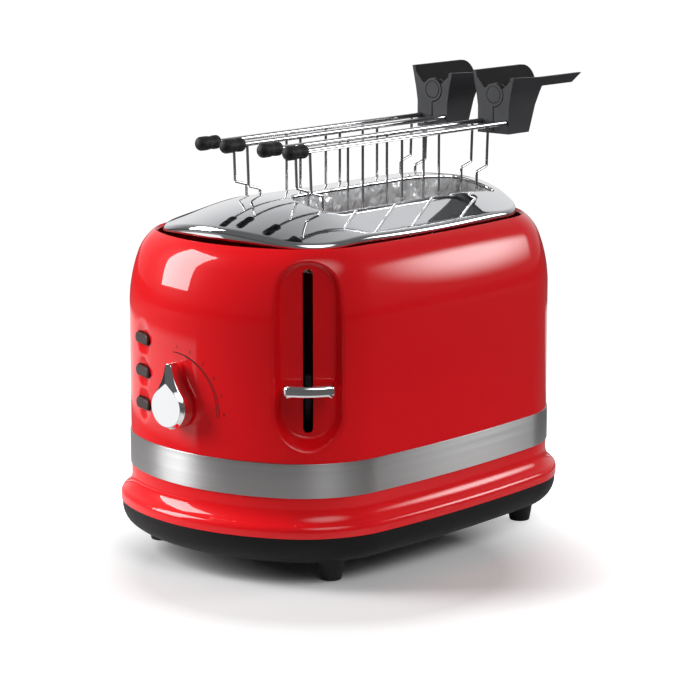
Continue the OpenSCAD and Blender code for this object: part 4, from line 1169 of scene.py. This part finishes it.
class TOASTER_OT_tongs(PieceOperator, bpy.types.Operator):
    """Wire grids, rubber tips and sprung handles of the two tongs"""
    bl_idname = "toaster.tongs"
    bl_label = "Sandwich Tongs"

    # Places of the inner wires as shares of the grid's length, and how much thinner they are
    INNER = (0.282, 0.499, 0.71)
    THINNER = 0.94
    # Section of a rubber tip: length of its nose as a share of the radius, and behind the nose shares of
    # the length and the radius
    NOSE = 0.75
    NOSE_STEPS = 8
    TIP = ((0.45, 1), (0.52, 0.96), (0.62, 0.9), (0.7, 0.92), (0.78, 0.98), (0.95, 0.98), (0.99, 0.9), (1, 0.8))
    GRIP_EDGE_R = 0.7
    PIN_EDGE_R = 0.3
    # Faces that look inwards by more than this share get the painted shade of the handle's inside
    LINED = 0.2

    def grid(self, t, y, shift):
        """Rod and hanging wires of one grid."""
        xa = t.grid_x0 + shift
        xb = xa + t.grid_len
        hook = [(xa, t.rod_z), (xa, t.jog_z), (xa + t.grid_jog, t.jog_z), (xa + t.grid_jog, t.low_z),
                (xb - t.grid_jog, t.low_z), (xb - t.grid_jog, t.jog_z), (xb, t.jog_z), (xb, t.rod_z)]
        runs = [([(t.rod_x0, y, t.rod_z), (t.rod_x1, y, t.rod_z)], t.rod_r),
                (bent([(x, y, z) for x, z in hook], t.bend_r), t.wire_r)]
        for share in self.INNER:
            x = xa + share * t.grid_len
            runs.append(([(x, y, t.low_z), (x, y, t.rod_z)], t.wire_r * self.THINNER))
        return runs

    def tip(self, t, y):
        """Rubber cap: round nose, a faint waist and a collar."""
        long, r = TIP_HIGH.x - TIP_LOW.x, t.tip_r
        turns = [math.pi / 2 * i / self.NOSE_STEPS for i in range(self.NOSE_STEPS + 1)]
        section = [(r * self.NOSE * (1 - math.cos(a)), r * math.sin(a)) for a in turns]
        section += [(long * along, r * out) for along, out in self.TIP] + [(long, t.rod_r)]
        bm = bmesh.new()
        lathe(bm, section, (TIP_LOW.x, y, t.rod_z), (1, 0, 0), (0, 0, 1))
        return bm

    def line_grip(self, mesh, half):
        """Paints shade on the inside of a handle half: faces that look inwards get a near-black finish."""
        mesh.materials.append(finish("black_lining"))
        for face in mesh.polygons:
            if face.normal.y * half < -self.LINED:
                face.material_index = 1

    def execute(self, context):
        t = sizes("tongs")
        slot_y = sizes("top").slot_y
        for side_name, side in SIDES.items():
            for half_name, half in HALVES.items():
                stem = side_name + "_tong_" + half_name
                y = side * slot_y + half * t.grid_gap / 2
                shift = t.grid_shift if half_name == "left" else 0
                mesh = tube_mesh(stem + "_wires", self.grid(t, y, shift))
                add_mesh(stem + "_wires", mesh, stem, "bright_wire", [stem + "_grid"], sharp=50)
                add_piece(stem + "_cap", self.tip(t, y), stem, "black_rubber", [stem + "_tip"], sharp=50)
                grip = refined_copy(stem + "_grip", self.GRIP_EDGE_R, limit=30)
                # The inward faces of each handle half get painted shade
                self.line_grip(grip.data, half)
            refined_copy(side_name + "_tong_pin", self.PIN_EDGE_R)
        return {"FINISHED"}


class TOASTER_OT_inner(PieceOperator, bpy.types.Operator):
    """Finishes of the inner pieces that keep their construction shape"""
    bl_idname = "toaster.inner"
    bl_label = "Inner Pieces"

    def execute(self, context):
        for node, piece in frame["nodes"].items():
            if not piece.hide_render:
                piece.data.materials.clear()
                piece.data.materials.append(finish(SLOT_OF[node]))
        return {"FINISHED"}


class TOASTER_OT_stage(PieceOperator, bpy.types.Operator):
    """Pale floor, studio light and camera"""
    bl_idname = "toaster.stage"
    bl_label = "Stage"

    # Camera: place, turn from +Y and downward tilt in radians, and focal length in pixels of the picture
    EYE = Vector((-1199.9, -1042.65, 422.9)) * MM
    YAW = 0.8581
    PITCH = 0.1960
    FOCUS_PIXELS = 2782
    PICTURE_PIXELS = 700
    SENSOR = 36
    # Name, aim, azimuth, height angle, distance, roll, width, height, watts and soft edge of each soft light
    LIGHTS = (
        ("end softbox", (-0.124, 0.005, 0.165), 121, 25, 1.3, 8, 0.56, 0.95, 22.0, False),
        ("side softbox", (0.0, -0.085, 0.165), -34, 17, 1.7, 0, 1.0, 0.9, 19.0, True),
        ("front fill", (-0.06, -0.06, 0.1), 250, 48, 1.8, 0, 1.8, 1.8, 25.0, True),
    )
    # Where a soft edge starts and ends, from the light's middle, and how much brighter the middle is
    SOFT_FROM = 0.1
    SOFT_TO = 0.5
    SOFT_GAIN = 1.6
    # Pale table top: half the floor's size, the table's radius and half its soft edge, its grey and the room's
    FLOOR_HALF = 20
    TABLE_R = 0.27
    TABLE_EDGE = 0.06
    TABLE_GREY = 0.84
    ROOM_GREY = 0.10
    # Shadow that the camera sees: its middle, and where the white round it starts and is full
    SHADE = (-0.075, -0.05, 0.0)
    WHITE_FROM = 0.10
    WHITE_TO = 0.21
    # Glowing card on the floor that only glossy rays see, a painted reflection rather than a lit card: inner
    # and outer radius, share of painted glow on it and elsewhere
    CARD_IN = 0.42
    CARD_R = 0.78
    CARD_GLOW = 0.95
    ROOM_GLOW = 0.03
    # Start and direction of the card's long edge, how soft its edges are, and where it fades in across
    CARD_FROM = (-0.124, 0.0, 0.0)
    CARD_TURN = 142.5
    CARD_EDGE = 0.01
    CARD_RING = 0.02
    CARD_ACROSS = (0.05, 0.1)
    # Where the pale backdrop stands: azimuth and height angle
    BACKDROP = (41, 12)
    # Cosine from the backdrop's middle and the grey there, the grey at its middle, and a touch of blue
    ROOM = ((0.3, 0.1), (0.6, 0.2), (0.85, 0.5), (0.95, 0.75))
    BACKDROP_GREY = 0.9
    ROOM_BLUE = 1.02

    def execute(self, context):
        scene = context.scene
        scene.view_settings.view_transform = "Standard"
        self.floor()
        self.world(scene)
        for light in self.LIGHTS:
            self.softbox(scene, *light)
        self.camera(scene)
        return {"FINISHED"}

    def softbox(self, scene, name, aim, azimuth, rise, distance, roll, wide, tall, watts, soft):
        """Rectangular soft light that faces a point of the object."""
        light = bpy.data.lights.new(name, "AREA")
        light.shape = "RECTANGLE"
        light.size, light.size_y, light.energy = wide, tall, watts
        lamp = bpy.data.objects.new(name, light)
        away = direction(azimuth, rise)
        facing = (-away).to_track_quat("-Z", "Y").to_matrix()
        lamp.matrix_world = (Matrix.Translation(Vector(aim) + away * distance)
                             @ facing.to_4x4() @ Matrix.Rotation(math.radians(roll), 4, "Z"))
        scene.collection.objects.link(lamp)
        if soft:
            self.soften(light)

    def soften(self, light):
        """Lets a light fade from its middle to its edges."""
        light.use_nodes = True
        nodes, links = light.node_tree.nodes, light.node_tree.links
        spot = nodes.new("ShaderNodeNewGeometry")
        centred = operation(nodes, "VectorMath", "SUBTRACT")
        centred.inputs[1].default_value = (0.5, 0.5, 0)
        reach = operation(nodes, "VectorMath", "LENGTH")
        fade = nodes.new("ShaderNodeMapRange")
        fade.interpolation_type = "SMOOTHSTEP"
        set_inputs(fade, {"From Min": self.SOFT_FROM, "From Max": self.SOFT_TO,
                          "To Min": self.SOFT_GAIN, "To Max": 0.0})
        links.new(spot.outputs["Parametric"], centred.inputs[0])
        links.new(centred.outputs["Vector"], reach.inputs[0])
        links.new(reach.outputs["Value"], fade.inputs["Value"])
        links.new(fade.outputs["Result"], nodes["Emission"].inputs["Strength"])

    def camera(self, scene):
        """Camera at the photograph's viewpoint."""
        data = bpy.data.cameras.new("camera")
        data.sensor_width = self.SENSOR
        data.lens = data.sensor_width * self.FOCUS_PIXELS / self.PICTURE_PIXELS
        data.clip_end = 100
        camera = bpy.data.objects.new("camera", data)
        level = math.cos(self.PITCH)
        ahead = Vector((math.sin(self.YAW) * level, math.cos(self.YAW) * level, -math.sin(self.PITCH)))
        right = ahead.cross(UP).normalized()
        over = right.cross(ahead)
        turn = Matrix((right, over, -ahead)).transposed()
        camera.matrix_world = Matrix.Translation(self.EYE) @ turn.to_4x4()
        scene.collection.objects.link(camera)
        scene.camera = camera

    def seen_white(self, nodes, links, white, glow):
        """White that a ray sees: all of it for camera and transmission rays, a glow for glossy ones."""
        path = nodes.new("ShaderNodeLightPath")
        direct = operation(nodes, "Math", "MAXIMUM")
        seen = operation(nodes, "Math", "MULTIPLY")
        total = operation(nodes, "Math", "MULTIPLY_ADD")
        links.new(path.outputs["Is Camera Ray"], direct.inputs[0])
        links.new(path.outputs["Is Transmission Ray"], direct.inputs[1])
        links.new(direct.outputs["Value"], seen.inputs[0])
        links.new(path.outputs["Is Glossy Ray"], total.inputs[0])
        links.new(seen.outputs["Value"], total.inputs[2])
        for value, socket in ((white, seen.inputs[1]), (glow, total.inputs[1])):
            if isinstance(value, float):
                socket.default_value = value
            else:
                links.new(value, socket)
        return total.outputs["Value"]

    def stage_plane(self, name, size):
        """A square plane of the stage with an empty material."""
        bm = bmesh.new()
        bmesh.ops.create_grid(bm, x_segments=4, y_segments=4, size=size)
        mesh = bpy.data.meshes.new(name)
        bm.to_mesh(mesh)
        bm.free()
        plane = bpy.data.objects.new(name, mesh)
        bpy.context.scene.collection.objects.link(plane)
        material = bpy.data.materials.new(name)
        material.use_nodes = True
        mesh.materials.append(material)
        return material.node_tree.nodes, material.node_tree.links

    def floor(self):
        """Pale table top in a darker room; the picture's white comes from what the floor shows the camera."""
        nodes, links = self.stage_plane("floor", self.FLOOR_HALF)
        shader = nodes["Principled BSDF"]
        set_inputs(shader, {"Roughness": 0.6, "Specular IOR Level": 0.0, "Emission Color": (1, 1, 1, 1)})
        place = nodes.new("ShaderNodeTexCoord")

        def from_point(point, along=None):
            """Distance from a point, or how far a place lies beyond it along a direction."""
            arm = operation(nodes, "VectorMath", "SUBTRACT")
            arm.inputs[1].default_value = point
            found = operation(nodes, "VectorMath", "DOT_PRODUCT" if along else "LENGTH")
            if along:
                found.inputs[1].default_value = along
            links.new(place.outputs["Object"], arm.inputs[0])
            links.new(arm.outputs["Vector"], found.inputs[0])
            return found.outputs["Value"]

        def ramp(value, near, far, start, end):
            """A value that runs from start to end."""
            mapped = nodes.new("ShaderNodeMapRange")
            set_inputs(mapped, {"From Min": near, "From Max": far, "To Min": start, "To Max": end})
            links.new(value, mapped.inputs["Value"])
            return mapped.outputs["Result"]

        def about(value, middle, half, start, end):
            """A value that runs from start to end across a soft edge."""
            return ramp(value, middle - half, middle + half, start, end)

        def product(first, second, plus=0):
            """Two values multiplied, and a number added."""
            node = operation(nodes, "Math", "MULTIPLY_ADD")
            node.inputs[2].default_value = plus
            links.new(first, node.inputs[0])
            links.new(second, node.inputs[1])
            return node.outputs["Value"]

        reach = from_point((0, 0, 0))
        tone = nodes.new("ShaderNodeMix")
        tone.data_type = "RGBA"
        for key, grey in (("A", self.TABLE_GREY), ("B", self.ROOM_GREY)):
            tone.inputs[key].default_value = (grey, grey, grey, 1)
        links.new(about(reach, self.TABLE_R, self.TABLE_EDGE, 0, 1), tone.inputs["Factor"])
        links.new(tone.outputs["Result"], shader.inputs["Base Color"])
        white = ramp(from_point(self.SHADE), self.WHITE_FROM, self.WHITE_TO, 0, 1)
        # Painted reflection: the card glows only for glossy rays
        beyond = from_point(self.CARD_FROM, tuple(direction(self.CARD_TURN - 90, 0)))
        aside = from_point(self.CARD_FROM, (0, 1, 0))
        sector = product(about(beyond, 0, self.CARD_EDGE, 0, 1), ramp(aside, *self.CARD_ACROSS, 0, 1))
        inner = product(sector, about(reach, self.CARD_IN, self.CARD_RING, 0, 1))
        outer = about(reach, self.CARD_R, self.CARD_RING, self.CARD_GLOW, 0)
        glow = product(inner, outer, self.ROOM_GLOW)
        links.new(self.seen_white(nodes, links, white, glow), shader.inputs["Emission Strength"])

    def world(self, scene):
        """Dim room with a pale backdrop behind the object; the camera sees it as white."""
        world = bpy.data.worlds.new("studio")
        scene.world = world
        world.use_nodes = True
        nodes, links = world.node_tree.nodes, world.node_tree.links
        place = nodes.new("ShaderNodeTexCoord")
        toward = operation(nodes, "VectorMath", "DOT_PRODUCT")
        toward.inputs[1].default_value = direction(*self.BACKDROP)
        ramp = nodes.new("ShaderNodeValToRGB")
        stops = ramp.color_ramp.elements
        for at, grey in self.ROOM:
            stop = stops.new(at)
            stop.color = (grey, grey, grey * self.ROOM_BLUE, 1)
        stops.remove(stops[0])
        stops[-1].color = (self.BACKDROP_GREY, self.BACKDROP_GREY, self.BACKDROP_GREY, 1)
        seen = nodes.new("ShaderNodeMix")
        seen.data_type = "RGBA"
        seen.inputs["B"].default_value = (1, 1, 1, 1)
        links.new(place.outputs["Generated"], toward.inputs[0])
        links.new(toward.outputs["Value"], ramp.inputs["Fac"])
        links.new(ramp.outputs["Color"], seen.inputs["A"])
        # Glossy rays also see a faint painted white glow
        links.new(self.seen_white(nodes, links, 1.0, self.ROOM_GLOW), seen.inputs["Factor"])
        links.new(seen.outputs["Result"], nodes["Background"].inputs["Color"])


PIECES = (TOASTER_OT_shell, TOASTER_OT_band, TOASTER_OT_base, TOASTER_OT_plate, TOASTER_OT_lever,
          TOASTER_OT_knob, TOASTER_OT_buttons, TOASTER_OT_tongs, TOASTER_OT_inner, TOASTER_OT_stage)


class TOASTER_PT_panel(bpy.types.Panel):
    """Sidebar panel that lists the pieces and their sizes"""
    bl_idname = "TOASTER_PT_panel"
    bl_label = "Two-slot Toaster"
    bl_space_type = "VIEW_3D"
    bl_region_type = "UI"
    bl_category = "Toaster"

    def draw(self, context):
        for piece in PIECES:
            self.layout.operator(piece.bl_idname)
        for name, group in GROUPS.items():
            box = self.layout.box()
            for key in group.__annotations__:
                box.prop(getattr(context.scene, name), key)


CLASSES = (*GROUPS.values(), *PIECES, TOASTER_PT_panel)


def register():
    for cls in CLASSES:
        bpy.utils.register_class(cls)
    for name, group in GROUPS.items():
        setattr(bpy.types.Scene, name, bpy.props.PointerProperty(type=group))


def unregister():
    for name in GROUPS:
        delattr(bpy.types.Scene, name)
    for cls in reversed(CLASSES):
        bpy.utils.unregister_class(cls)


def main():
    """Registers the add-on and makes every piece."""
    register()
    for piece in PIECES:
        operator = piece.bl_idname.split(".")[1]
        getattr(bpy.ops.toaster, operator)()


if __name__ == "__main__":
    main()
